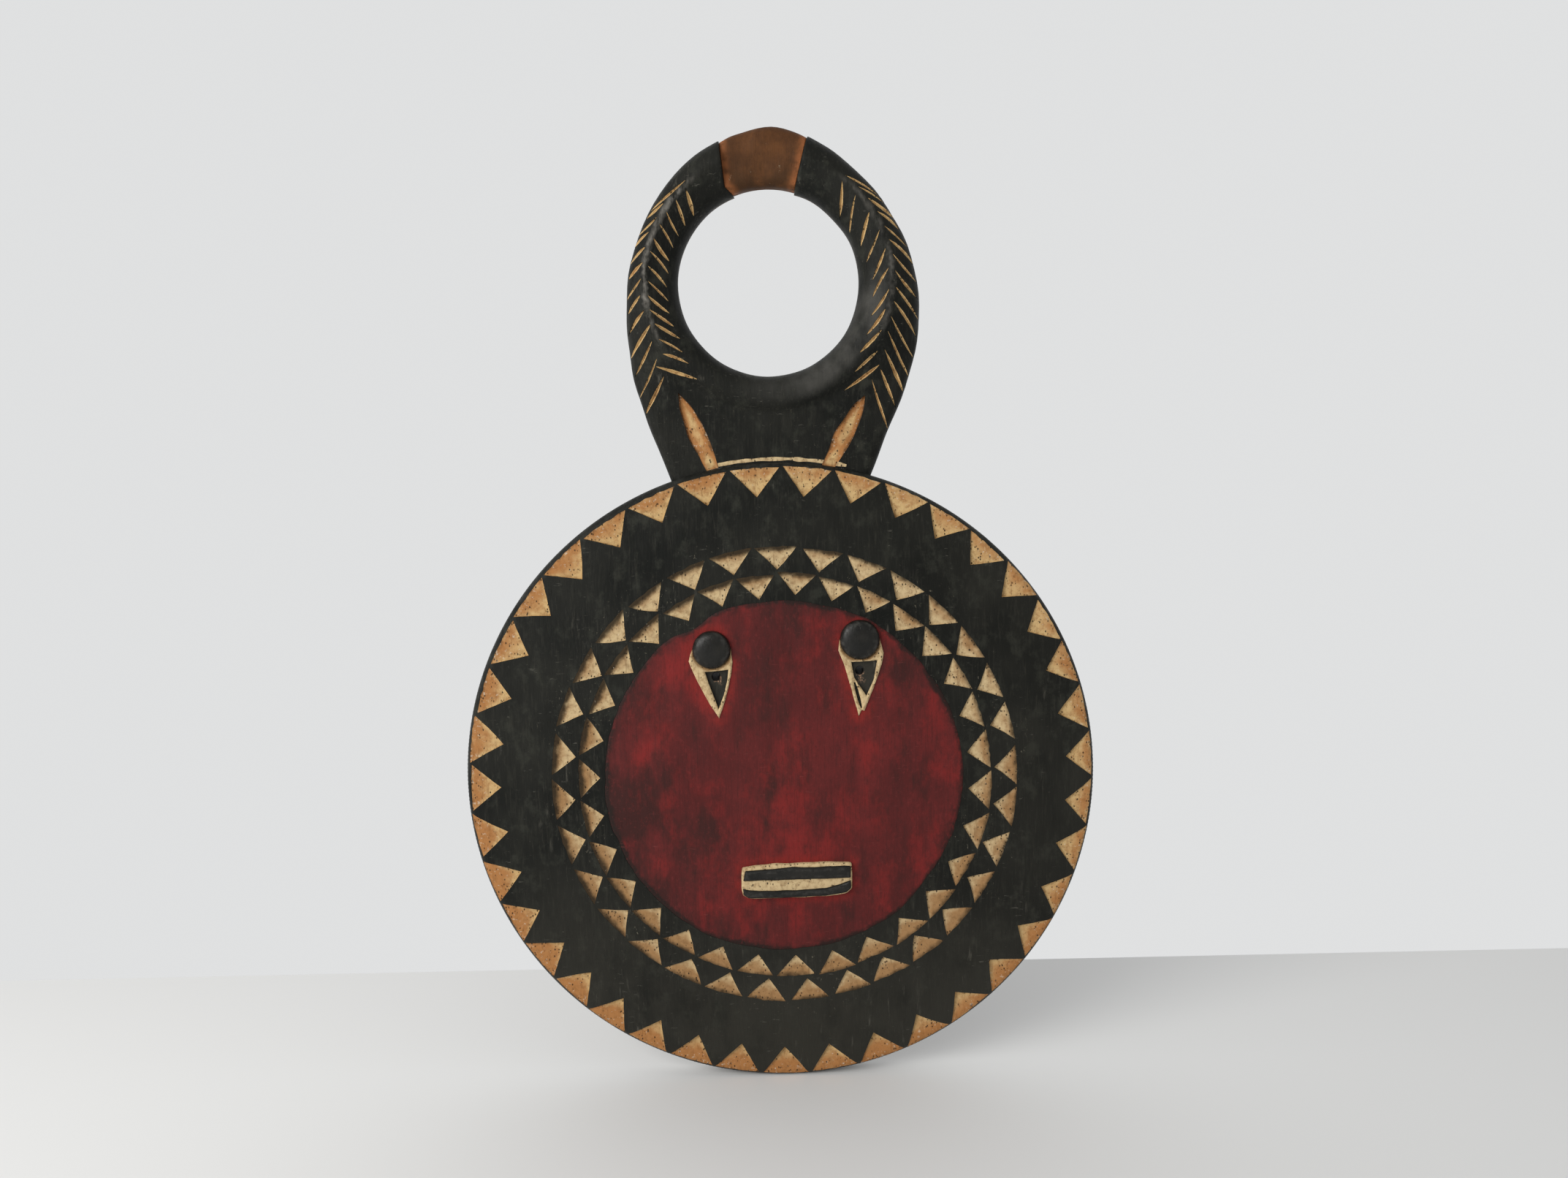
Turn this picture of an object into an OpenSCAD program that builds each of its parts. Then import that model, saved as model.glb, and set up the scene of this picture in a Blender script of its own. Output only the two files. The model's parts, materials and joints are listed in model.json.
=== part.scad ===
// Carved wooden disc mask with a pair of horns that close into a ring.
//
// Frame: +Z is up, the face looks towards -Y, the flat back lies in the plane y = 0 and the
// origin is the disc's centre in that plane. Each piece is drawn flat, with x across the
// mask and y up it, and with its height measured forwards from the back. in_mask() then
// stands it up. All sizes are in millimetres.

/* [Disc] */
// Radius of the face disc
disc_r = 215; // [205:1:230]
// Thickness of the disc at its shoulder
rim_t = 18; // [16:0.5:24]
// Rise of the disc's middle above its shoulder
dome_rise = 8; // [4:0.5:12]
// Width of the rounded front edge
edge_round = 6; // [4:0.5:8]
// Depth of the straight wall at the back of the edge
edge_wall = 13; // [10:0.5:15]
// Radius of the hollow behind the face
hollow_r = 125; // [100:1:150]
// Depth of the hollow behind the face
hollow_depth = 14; // [8:0.5:16]

/* [Chip cuts] */
// Number of triangles along the rim
outer_count = 39; // [24:1:48]
// Radius of the rim triangles' tips
outer_tip_r = 192.4; // [185:0.1:198]
// Number of triangles in the middle ring
middle_count = 32; // [20:1:40]
// Radius of the middle triangles' bases
middle_base_r = 158.4; // [155:0.1:165]
// Radius of the middle triangles' tips
middle_tip_r = 142.9; // [142:0.1:150]
// Number of triangles in the inner ring
inner_count = 31; // [20:1:40]
// Radius of the inner triangles' bases
inner_base_r = 140.5; // [136:0.1:141]
// Radius of the inner triangles' tips
inner_tip_r = 125.3; // [124.5:0.1:132]
// Depth of the chip cuts
cut_depth = 1.8; // [1.2:0.1:3]
// Thickness of the pigment in the cuts
pigment_t = 1; // [0.5:0.1:1.1]

/* [Face] */
// Radius of the red field
red_r = 122.3; // [118:0.1:122.5]
// Depth of the red field's bed
red_bed = 1; // [0.6:0.1:1.5]
// Radius of the eye domes
eye_r = 13.2; // [11:0.1:14]
// Height of the eye domes above the face
eye_rise = 7; // [4:0.5:9]
// Height of the cream rims under the eyes
eye_rim_rise = 2.2; // [1:0.1:4]
// Radius of the sight holes
sight_r = 2.75; // [2:0.05:3]
// Slope of the sight holes, up towards the back
sight_slope = 14; // [0:1:15]
// Width of the mouth
mouth_w = 76; // [60:1:80]
// Height of the mouth
mouth_h = 24.5; // [18:0.5:26]
// Rise of the mouth's bar above the face
mouth_rise = 4; // [3:0.5:5]
// Rise of the lips above the bar
lip_rise = 2; // [1:0.1:3]

/* [Crest] */
// Height of the ring's centre above the disc's top
ring_above = 117; // [112:1:125]
// Radius of the opening in the ring
ring_r = 60; // [52:0.5:60]
// Thickness of the neck
neck_t = 13; // [10:0.5:13]
// Rise of the horns' spines above the neck
spine_rise = 10; // [6:0.5:12]
// Rise of the bridge between the horn tips above the neck
bridge_rise = 4; // [2:0.5:6]
// Depth of the herringbone cuts
stroke_depth = 1.4; // [1:0.1:2]
// Width of a herringbone stroke
stroke_w = 3; // [2:0.1:4]
// Depth of the ears' beds
ear_depth = 1.8; // [1.2:0.1:2.5]

/* [Hidden] */
$fn = 180;

black = [0.07, 0.065, 0.06];
cream = [0.76, 0.66, 0.48];
ochre = [0.70, 0.50, 0.30];
red = [0.42, 0.08, 0.09];
brown = [0.45, 0.24, 0.12];

shoulder_r = disc_r - edge_round;
outer_base_r = disc_r - 2;
rings_at = [3, 1];
red_at = [2, 2];
ring_at = [-1, disc_r + ring_above];
mouth_at = [9.6, -69.1];
mouth_tilt = 0.8;
mouth_corner = 3;

// Corners of the lips, as shares of the mouth's half width and half height.
upper_lip = [[-0.96, 0.09], [0.97, 0.11], [0.97, 0.84], [-0.92, 0.72]];
lower_lip = [[-0.96, -0.32], [-0.66, -0.49], [0.26, -0.49], [0.66, -0.36], [0.97, -0.04],
    [0.97, -0.49], [0.87, -0.77], [0.26, -0.92], [-0.87, -0.93], [-0.96, -0.69]];
well_above = 60;

// Hand spacing of each ring: the angle of its first tip, then how far the tips drift round
// the ring, as the sine and cosine of one turn and of two turns, all in degrees.
outer_hand = [3.9, 0.8, 0.55, 0.15, 1.5];
middle_hand = [8, 0.5, 2.2, -0.4, 0];
inner_hand = [3.5, -1.45, 0.25, -0.6, 0.6];

// Each eye: the dome's place, its radius against eye_r, then from the dome's centre the
// outside of the V rim, the black floor inside it, and the sight hole.
left_eye = [[-44.3, 91.2], 0.98, [[-15.7, -8], [3.2, -46], [13.4, -8]],
    [[-6.5, -10], [-5, -17.5], [2.5, -41], [10.2, -16.5], [9, -10]], [2.4, -17.8]];
right_eye = [[55.1, 96], 1.02, [[-13.5, -6], [-1.4, -51.5], [2.4, -46.5], [15.9, -8.4]],
    [[-6.5, -10], [-5.5, -16], [3, -38], [9.4, -15.5], [9, -10]], [-0.5, -20.7]];

// Outside of the neck and horns, from the ring's centre: up the left, over, down the right.
crest_edge = [[-60, -150], [-78.5, -101], [-91, -61], [-94, -23.5], [-90, 15], [-73.5, 52],
    [-50.5, 79], [-32, 90.5], [-18, 95.5], [4, 99.7], [22, 95], [32, 90.5], [49, 79],
    [75, 52], [94.5, 15], [99.5, -23.5], [93, -61], [76.5, -101], [57, -150]];

// The bridge's room between the horn tips, from the ring's centre.
bridge_gap = [[-32.5, 113], [-30, 88], [-27, 61], [-21, 56.3], [-15, 40], [12, 35],
    [16.7, 52.7], [26.3, 89], [32.7, 113]];

// Horn spines: radius from the ring's centre, how it opens out low down, and reach.
spine_r = 81;
spine_half = 21;
spine_opens_at = 110;
spine_opens = 0.42;

// Each row of herringbone strokes: count, first and last angle round the ring from its top,
// first and last lean from straight down, first and last length, and side of the spine.
left_outer_row = [14, -39, -130, -57, -28, 20, 20, 1];
left_inner_row = [14, -41, -129, 15, 72, 18, 20, -1];
right_outer_row = [15, 39, 134, 63, 18, 21, 28, 1];
right_inner_row = [11, 38, 132, -4, -55, 23, 21, -1];

// Ears, as the base's middle, the lean and the length.
left_ear = [-41.5, 23, 53];
right_ear = [37, -28.5, 52];
ear_w = 12.5;
ear_drop = 6;

// Collar line: first and last angle, inner radius outside the disc's edge, and width.
collar = [-10, 13, 1, 2.5];
collar_sunk = 0.8;
collar_proud = 0.4;

function polar(a, r) = [r * sin(a), r * cos(a)];

// Height of the disc's front over its back, at a radius.
function front(r) = let (
    dome = rim_t + dome_rise * (1 - pow(min(r, shoulder_r) / disc_r, 2)),
    k = min(1, max(0, r - shoulder_r) / edge_round))
    edge_wall + (dome - edge_wall) * sqrt(1 - k * k);

dome_radii = [for (i = [0 : 11]) shoulder_r * i / 11];
edge_radii = [for (a = [15 : 15 : 90]) shoulder_r + edge_round * sin(a)];
radii = concat(dome_radii, edge_radii);

// Depth of the hollow at a radius.
function hollow(r) = hollow_depth * (1 - pow(r / hollow_r, 4));

// Height of a ring member over the back, with a rounded rise over its spine.
function over_spine(r, rise) =
    neck_t + rise * max(0, 1 - pow((r - spine_r) / spine_half, 2));

// Smooth curve through a row of points, n steps from each to the next.
function spline(p, n) = [for (i = [0 : len(p) - 2], s = [0 : n - 1]) let (
    t = s / n,
    a = p[max(i - 1, 0)],
    b = p[i],
    c = p[i + 1],
    d = p[min(i + 2, len(p) - 1)])
    0.5 * (2 * b + (c - a) * t + (2 * a - 5 * b + 4 * c - d) * t * t
        + (3 * b - a - 3 * c + d) * t * t * t)];

// Angle of a ring's tip number i, clockwise from the top.
function tip_angle(i, count, hand) = let (t = 360 * i / count)
    hand[0] + t + hand[1] * sin(t) + hand[2] * cos(t) + hand[3] * sin(2 * t) + hand[4] * cos(2 * t);

function mix(row, k, i) = row[k] + (row[k + 1] - row[k]) * i / (row[0] - 1);

module in_mask() { rotate([90, 0, 0]) children(); }

module prism() { linear_extrude(well_above) children(); }

// Everything forwards of the disc's front, moved out by a height.
module ahead_of_front(out) {
    rotate_extrude()
        polygon(concat([for (r = radii) [r, front(r) + out]],
            [[disc_r, well_above], [0, well_above]]));
}

// A layer that follows the disc's front, from one height over it to another.
module front_layer(low, high) {
    last = len(radii) - 1;
    rotate_extrude()
        polygon(concat([for (r = radii) [r, front(r) + low]],
            [for (i = [last : -1 : 0]) [radii[i], front(radii[i]) + high]]));
}

// A layer that follows the horns' rounded front, and the whole horn where low is undefined.
module spine_layer(rise, low, high) {
    steps = [for (i = [-7 : 7]) spine_r + spine_half * i / 7];
    reach = concat(steps, [250]);
    last = len(reach) - 1;
    floor_line = is_undef(low) ? [[0, 0], [250, 0]]
        : concat([[0, neck_t + low]], [for (r = reach) [r, over_spine(r, rise) + low]]);
    translate(ring_at)
        rotate_extrude()
            polygon(concat(floor_line,
                [for (i = [last : -1 : 0]) [reach[i], over_spine(reach[i], rise) + high]],
                [[0, neck_t + high]]));
}

// One ring of triangles with their tips inwards. share is the part of the pitch that a
// base takes up, and lean makes the tips reach out further on one side.
module triangle_ring(count, hand, tip_r, base_r, share, lean = 0) {
    for (i = [0 : count - 1]) {
        a = tip_angle(i, count, hand);
        before = a + (tip_angle(i - 1, count, hand) - a) * share / 2;
        after = a + (tip_angle(i + 1, count, hand) - a) * share / 2;
        polygon([polar(a, tip_r + lean * sin(a)), polar(before, base_r),
            polar((before + after) / 2, base_r), polar(after, base_r)]);
    }
}

module outer_ring() {
    triangle_ring(outer_count, outer_hand, outer_tip_r, outer_base_r, 0.94, 2.5);
}

module middle_ring() {
    translate(rings_at)
        triangle_ring(middle_count, middle_hand, middle_tip_r, middle_base_r, 0.9);
}

module inner_ring() {
    translate(rings_at)
        triangle_ring(inner_count, inner_hand, inner_tip_r, inner_base_r, 0.93);
}

// Pigment in a ring of cuts.
module pigment() {
    in_mask()
        intersection() {
            prism() children();
            front_layer(-cut_depth, pigment_t - cut_depth);
        }
}

module dome_2d(eye) { translate(eye[0]) circle(eye_r * eye[1]); }

module rim_2d(eye) {
    difference() {
        translate(eye[0]) polygon(eye[2]);
        translate(eye[0]) polygon(eye[3]);
        dome_2d(eye);
    }
}

module eye_2d(eye) {
    dome_2d(eye);
    translate(eye[0]) polygon(eye[2]);
}

module mouth_2d() {
    x = mouth_w / 2 - mouth_corner;
    y = mouth_h / 2 - mouth_corner;
    translate(mouth_at)
        rotate(mouth_tilt) {
            square([2 * x, mouth_h], center = true);
            square([mouth_w, 2 * y], center = true);
            for (sx = [-x, x], sy = [-y, y])
                translate([sx, sy]) circle(mouth_corner);
        }
}

// Outline of a lip, from its corners' shares of the mouth.
module lip_2d(shares) {
    translate(mouth_at)
        rotate(mouth_tilt)
            polygon([for (p = shares) [p[0] * mouth_w / 2, p[1] * mouth_h / 2]]);
}

// One slender stroke from its start, pointing down, with its width a third of the way on.
module stroke_2d(length) {
    polygon([[0, 0], [stroke_w / 2, -length / 3], [0.2, -length], [-0.2, -length],
        [-stroke_w / 2, -length / 3]]);
}

module stroke_row(row) {
    for (i = [0 : row[0] - 1]) {
        a = mix(row, 1, i);
        opening = spine_opens * max(0, abs(a) - spine_opens_at);
        r = spine_r + opening + row[7] * (stroke_w / 2 + 0.4);
        translate(ring_at + polar(a, r))
            rotate(mix(row, 3, i))
                stroke_2d(mix(row, 5, i));
    }
}

module strokes_2d(outer_row, inner_row) {
    difference() {
        union() {
            stroke_row(outer_row);
            stroke_row(inner_row);
        }
        translate(ring_at) circle(ring_r + 1.5);
    }
}

module ring_outline_2d() {
    translate(ring_at)
        difference() {
            polygon(spline(crest_edge, 5));
            circle(ring_r);
        }
}

module bridge_2d() { translate(ring_at) polygon(bridge_gap); }

// A leaf on its base's middle, pointing up.
module leaf_2d(length) {
    w = ear_w / 2;
    polygon(concat(spline([[-0.6 * w, -ear_drop], [-0.85 * w, 0.2 * length],
            [-w, 0.45 * length], [-0.6 * w, 0.8 * length], [0, length]], 4),
        spline([[0, length], [0.6 * w, 0.8 * length], [w, 0.45 * length],
            [0.85 * w, 0.2 * length], [0.6 * w, -ear_drop]], 4),
        [[0.6 * w, -ear_drop]]));
}

module ear_2d(ear) {
    difference() {
        translate([ear[0], disc_r - 2]) rotate(ear[1]) leaf_2d(ear[2]);
        circle(disc_r);
    }
}

module collar_2d() {
    inner = disc_r + collar[2];
    sweep = [for (i = [0 : 12]) collar[0] + (collar[1] - collar[0]) * i / 12];
    difference() {
        polygon(concat([for (i = [0 : 12]) polar(sweep[i], inner)],
            [for (i = [12 : -1 : 0]) polar(sweep[i], inner + collar[3])]));
        ear_2d(left_ear);
        ear_2d(right_ear);
    }
}

module collar_bed(low, high) {
    translate([0, 0, neck_t + low])
        linear_extrude(high - low) collar_2d();
}

// Face board with its hollow, sight holes, and the beds for what is set in it.
module disc() {
    color(black)
        in_mask()
            difference() {
                rotate_extrude()
                    polygon(concat([for (i = [0 : 10]) [hollow_r * i / 10, hollow(hollow_r * i / 10)]],
                        [[disc_r, 0]],
                        [for (i = [len(radii) - 1 : -1 : 0]) [radii[i], front(radii[i])]]));
                intersection() {
                    prism() {
                        outer_ring();
                        middle_ring();
                        inner_ring();
                    }
                    ahead_of_front(-cut_depth);
                }
                intersection() {
                    prism() translate(red_at) circle(red_r);
                    ahead_of_front(-red_bed);
                }
                for (eye = [left_eye, right_eye])
                    translate(concat(eye[0] + eye[4], front(norm(eye[0] + eye[4]))))
                        rotate([sight_slope, 0, 0])
                            cylinder(h = well_above, r = sight_r, center = true, $fn = 48);
            }
}

// Neck and both horns, open at the top for the bridge.
module crest() {
    color(black)
        in_mask()
            difference() {
                intersection() {
                    prism()
                        difference() {
                            ring_outline_2d();
                            bridge_2d();
                            circle(disc_r);
                        }
                    spine_layer(spine_rise, undef, 0);
                }
                intersection() {
                    prism() {
                        strokes_2d(left_outer_row, left_inner_row);
                        strokes_2d(right_outer_row, right_inner_row);
                    }
                    spine_layer(spine_rise, -stroke_depth, 3);
                }
                intersection() {
                    prism() {
                        ear_2d(left_ear);
                        ear_2d(right_ear);
                    }
                    spine_layer(spine_rise, -ear_depth, 3);
                }
                collar_bed(-collar_sunk, 3);
            }
}

module tip_bridge() {
    color(brown)
        in_mask()
            intersection() {
                prism()
                    intersection() {
                        ring_outline_2d();
                        bridge_2d();
                    }
                spine_layer(bridge_rise, undef, 0);
            }
}

module red_field() {
    color(red)
        in_mask()
            intersection() {
                prism()
                    difference() {
                        translate(red_at) circle(red_r);
                        eye_2d(left_eye);
                        eye_2d(right_eye);
                        mouth_2d();
                    }
                front_layer(-red_bed, -0.2);
            }
}

module eye_dome(eye) {
    r = eye_r * eye[1];
    ball = (r * r + eye_rise * eye_rise) / (2 * eye_rise);
    top = front(norm(eye[0])) + eye_rise;
    color(black)
        in_mask()
            intersection() {
                prism() dome_2d(eye);
                translate([eye[0][0], eye[0][1], top - ball]) sphere(ball);
                ahead_of_front(-red_bed);
            }
}

module eye_rim(eye) {
    color(cream)
        in_mask()
            intersection() {
                prism() rim_2d(eye);
                front_layer(-red_bed, eye_rim_rise);
            }
}

module mouth_block() {
    color(cream)
        in_mask()
            intersection() {
                prism() mouth_2d();
                front_layer(-red_bed, mouth_rise);
            }
}

module lip(shares) {
    color(black)
        in_mask()
            intersection() {
                prism() lip_2d(shares);
                front_layer(mouth_rise, mouth_rise + lip_rise);
            }
}

module ear(ear) {
    color(cream)
        in_mask()
            intersection() {
                prism() ear_2d(ear);
                spine_layer(spine_rise, -ear_depth, pigment_t - ear_depth);
            }
}

module eye_dome_left() { eye_dome(left_eye); }
module eye_dome_right() { eye_dome(right_eye); }
module eye_rim_left() { eye_rim(left_eye); }
module eye_rim_right() { eye_rim(right_eye); }
module mouth_upper_lip() { lip(upper_lip); }
module mouth_lower_lip() { lip(lower_lip); }
module outer_triangles() { color(ochre) pigment() outer_ring(); }
module middle_triangles() { color(cream) pigment() middle_ring(); }
module inner_triangles() { color(cream) pigment() inner_ring(); }
module ear_left() { ear(left_ear); }
module ear_right() { ear(right_ear); }
module collar_line() { color(cream) in_mask() collar_bed(-collar_sunk, collar_proud); }

module horn_cuts(outer_row, inner_row) {
    color(cream)
        in_mask()
            intersection() {
                prism() strokes_2d(outer_row, inner_row);
                spine_layer(spine_rise, -stroke_depth, -0.5);
            }
}

module horn_cuts_left() { horn_cuts(left_outer_row, left_inner_row); }
module horn_cuts_right() { horn_cuts(right_outer_row, right_inner_row); }

disc();
crest();
tip_bridge();
red_field();
eye_dome_left();
eye_dome_right();
eye_rim_left();
eye_rim_right();
mouth_block();
mouth_upper_lip();
mouth_lower_lip();
outer_triangles();
middle_triangles();
inner_triangles();
horn_cuts_left();
horn_cuts_right();
ear_left();
ear_right();
collar_line();
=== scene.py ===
import json
import math
from itertools import combinations

import bpy
import numpy as np
from mathutils import Matrix, Vector
from mathutils.geometry import delaunay_2d_cdt
from mathutils.kdtree import KDTree


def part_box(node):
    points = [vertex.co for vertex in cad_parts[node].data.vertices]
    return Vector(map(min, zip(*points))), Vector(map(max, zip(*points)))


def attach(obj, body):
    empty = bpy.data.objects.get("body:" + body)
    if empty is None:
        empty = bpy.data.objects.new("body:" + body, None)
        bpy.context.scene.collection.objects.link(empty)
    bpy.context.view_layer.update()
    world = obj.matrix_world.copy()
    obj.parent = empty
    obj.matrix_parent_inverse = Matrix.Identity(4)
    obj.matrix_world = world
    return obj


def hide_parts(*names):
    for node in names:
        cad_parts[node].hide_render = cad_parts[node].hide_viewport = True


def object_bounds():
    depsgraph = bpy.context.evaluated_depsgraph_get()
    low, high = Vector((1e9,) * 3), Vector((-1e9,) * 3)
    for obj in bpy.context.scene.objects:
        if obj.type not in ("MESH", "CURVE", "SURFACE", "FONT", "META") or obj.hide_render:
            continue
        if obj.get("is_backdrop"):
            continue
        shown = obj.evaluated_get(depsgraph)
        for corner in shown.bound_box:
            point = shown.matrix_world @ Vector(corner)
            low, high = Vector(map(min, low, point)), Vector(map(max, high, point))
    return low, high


# Looks of a carved disc mask with a ring of horns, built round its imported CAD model.
#
# Every piece is drawn flat, as its CAD node is: x across the mask, y up it, and a height
# measured forwards from the back, all in millimetres. piece() stands it up in the frame.
# Outlines and places are read from the CAD nodes, and a carver's unevenness is put on them.

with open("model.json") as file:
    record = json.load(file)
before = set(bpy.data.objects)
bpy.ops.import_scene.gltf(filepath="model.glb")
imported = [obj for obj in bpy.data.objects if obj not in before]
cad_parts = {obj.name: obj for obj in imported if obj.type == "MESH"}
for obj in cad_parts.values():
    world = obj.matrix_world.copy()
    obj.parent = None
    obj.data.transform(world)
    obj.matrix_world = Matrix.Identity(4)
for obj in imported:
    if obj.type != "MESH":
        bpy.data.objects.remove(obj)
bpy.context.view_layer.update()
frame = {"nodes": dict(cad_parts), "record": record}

MM = 0.001

# Heights of the wood over the back, as in the CAD.
RIM_T = 18
DOME_RISE = 8
EDGE_ROUND = 6
EDGE_WALL = 13
HOLLOW_R = 125
HOLLOW_DEPTH = 14
NECK_T = 13
SPINE_RISE = 10
BRIDGE_RISE = 4

# Carving: the width of a stop cut's wall, the thickness of pigment, the room under it in
# its bed, how far it lies below the wood at least, the depth of the red field's bed, and
# how far raised pieces reach down past that.
WALL_W = 0.35
PIGMENT_T = 0.6
BED_GAP = 0.5
PIGMENT_SUNK = 0.12
RED_BED = 0.6
SEAT = 0.6


# ---- reading the CAD

def extent(node):
    """Middle and size of a CAD node across and up the mask, in mm."""
    low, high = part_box(node)
    low = np.array([low.x, low.z]) / MM
    high = np.array([high.x, high.z]) / MM
    return (low + high) / 2, high - low


def rings_of(after, pick):
    """Closed rows in a map from each point to the next, each begun where pick chooses."""
    while after:
        ring, here = [], pick(after)
        while here in after:
            ring.append(here)
            here = after.pop(here)
        yield ring


def outlines(node, forward=True):
    """Outlines of a CAD node's forward or backward faces, each a closed row of points."""
    mesh = frame["nodes"][node].data
    spots = {}
    index = [spots.setdefault(tuple(round(c * 1e5) for c in v.co), len(spots))
             for v in mesh.vertices]
    points = np.zeros((len(spots), 2))
    for v, i in zip(mesh.vertices, index):
        points[i] = (v.co.x / MM, v.co.z / MM)
    sides = set()
    for face in mesh.polygons:
        ring = [index[v] for v in face.vertices]
        facing = -face.normal.y if forward else face.normal.y
        if facing > 0.15 and len(set(ring)) == len(ring):
            sides.update(zip(ring, ring[1:] + ring[:1]))
    after = {a: b for a, b in sides if (b, a) not in sides}
    rings = rings_of(after, lambda left: next(reversed(left)))
    return [points[ring] for ring in rings if len(ring) > 2]


def corners_of(loop, slack):
    """The points of a closed loop that its shape needs, within a slack."""
    far = int(np.argmax(apart(loop, loop[0])))

    def needed(line):
        if len(line) < 3:
            return line[:-1]
        a, b = line[0], line[-1]
        along = (b - a) / max(1e-9, apart(b, a))
        away = np.abs((line - a) @ np.array([-along[1], along[0]]))
        i = int(np.argmax(away))
        if away[i] < slack:
            return line[:1]
        return np.concatenate([needed(line[:i + 1]), needed(line[i:])])

    closed = np.concatenate([loop, loop[:1]])
    found = np.concatenate([needed(closed[:far + 1]), needed(closed[far:])])
    a, b, c = np.roll(found, 1, axis=0), found, np.roll(found, -1, axis=0)
    bend = np.abs(cross(b - a, c - b)) / np.maximum(1e-9, apart(c, a))
    return found[bend > slack / 2]


# ---- plane geometry

def cross(a, b):
    return a[..., 0] * b[..., 1] - a[..., 1] * b[..., 0]


def apart(points, place):
    """Distance of one point, or of each of many, from a place."""
    return np.hypot(*(points - place).T)


def share(points, a, b):
    """How far each point is on the way from a (0) to b (1)."""
    run = b - a
    return np.clip((points - a) @ run / max(1e-12, run @ run), 0, 1)


def around(count):
    """Even angles round a whole turn."""
    return np.linspace(0, 360, count + 1)[:-1]


def polar(degrees, radius):
    """Points at angles clockwise from the top."""
    angle = np.radians(degrees)
    return np.stack([radius * np.sin(angle), radius * np.cos(angle)], axis=-1)


def smooth(value, low, high):
    t = np.clip((value - low) / (high - low), 0, 1)
    return t * t * (3 - 2 * t)

def fade(edge, width):
    """1 at an edge, falling to 0 at a width from it."""
    return np.clip(1 - edge / width, 0, 1)


def inside(points, loop):
    """Whether each point is inside a closed loop."""
    near = np.all((points >= loop.min(axis=0)) & (points <= loop.max(axis=0)), axis=1)
    x, y = points[near].T
    odd = np.zeros(len(x), bool)
    for (ax, ay), (bx, by) in zip(loop, np.roll(loop, -1, axis=0)):
        if ay != by:
            crossing = (ay > y) != (by > y)
            odd ^= crossing & (x < (bx - ax) * (y - ay) / (by - ay) + ax)
    hit = np.zeros(len(points), bool)
    hit[near] = odd
    return hit


def distance(points, starts, ends):
    """Distance of each point to the nearest of a set of straight stretches."""
    least = np.full(len(points), np.inf)
    for a, b in zip(starts, ends):
        along = share(points, a, b)[:, None] * (b - a)
        least = np.minimum(least, apart(points - a, along))
    return least


def to_loop(points, loop):
    return distance(points, loop, np.roll(loop, -1, axis=0))


def walk(line, step):
    """Points along an open line, no further apart than step, with its corners kept."""
    found = []
    for a, b in zip(line[:-1], line[1:]):
        count = max(1, math.ceil(apart(b, a) / step))
        found += [a + (b - a) * i / count for i in range(count)]
    return np.array(found + [line[-1]])


def walk_loop(loop, step):
    return walk(np.concatenate([loop, loop[:1]]), step)[:-1]


def soften(loop, step):
    """A closed loop in steps, with its corners cut back a little."""
    loop = walk_loop(np.array(loop, float), step)
    for _ in range(2):
        ahead = np.roll(loop, -1, axis=0)
        pairs = np.stack([loop * 0.75 + ahead * 0.25, loop * 0.25 + ahead * 0.75], axis=1)
        loop = pairs.reshape(-1, 2)
    return loop


def outward(loop):
    """Unit-width mitred offset of each point, out of an anticlockwise loop."""
    before = loop - np.roll(loop, 1, axis=0)
    after = np.roll(loop, -1, axis=0) - loop
    normals = [np.stack([e[:, 1], -e[:, 0]], axis=1) / np.maximum(1e-9, np.hypot(*e.T))[:, None]
               for e in (before, after)]
    total = normals[0] + normals[1]
    return total * 2 / np.maximum(0.35, (total ** 2).sum(axis=1))[:, None]


def anticlockwise(loop):
    area = cross(loop, np.roll(loop, -1, axis=0)).sum()
    return loop if area > 0 else loop[::-1]


WAVES = 8


def ripple(points, size, seed):
    """Smooth unevenness between about -1 and 1, with swells about as wide as size."""
    rng = np.random.default_rng(seed)
    total = np.zeros(len(points))
    for _ in range(WAVES):
        turn, phase = rng.uniform(0, 2 * math.pi, 2)
        length = size * rng.uniform(1.3, 3.2)
        along = points @ np.array([math.cos(turn), math.sin(turn)])
        total += np.sin(along * 2 * math.pi / length + phase)
    return total / math.sqrt(WAVES) / 1.3


def waver(loop, amount, size, seed, shift=0.0):
    """A closed loop with a hand's unevenness in its edge."""
    return loop + outward(loop) * (amount * ripple(loop, size, seed) + shift)[:, None]


def nearest(points, taken):
    """Distance of each point to the nearest of the taken ones."""
    tree = KDTree(len(taken))
    for i, (x, y) in enumerate(taken):
        tree.insert((x, y, 0), i)
    tree.balance()
    return np.array([tree.find((x, y, 0))[2] for x, y in points])


def gouges(points, size, radius, seed):
    """Depth left standing between the upright scoops of a round gouge."""
    rng = np.random.default_rng(seed)
    scoops = hex_grid(points.min(axis=0) - size, points.max(axis=0) + size, size)
    scoops = scoops + rng.normal(0, size * 0.22, scoops.shape)
    long_up = [1, 0.45]
    return nearest(points * long_up, scoops * long_up) ** 2 / (2 * radius)


def hex_grid(low, high, step):
    """Points of a triangular grid that covers a box."""
    rise = step * math.sqrt(0.75)
    rows = []
    for j in range(math.ceil((high[1] - low[1]) / rise) + 1):
        x = np.arange(low[0] + (j % 2) * step / 2, high[0] + step, step)
        rows.append(np.stack([x, np.full(len(x), low[1] + j * rise)], axis=1))
    return np.concatenate(rows)


def clear_of(points, taken, gap):
    """The points that lie further than gap from every taken one."""
    return points[nearest(points, taken) > gap]


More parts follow.
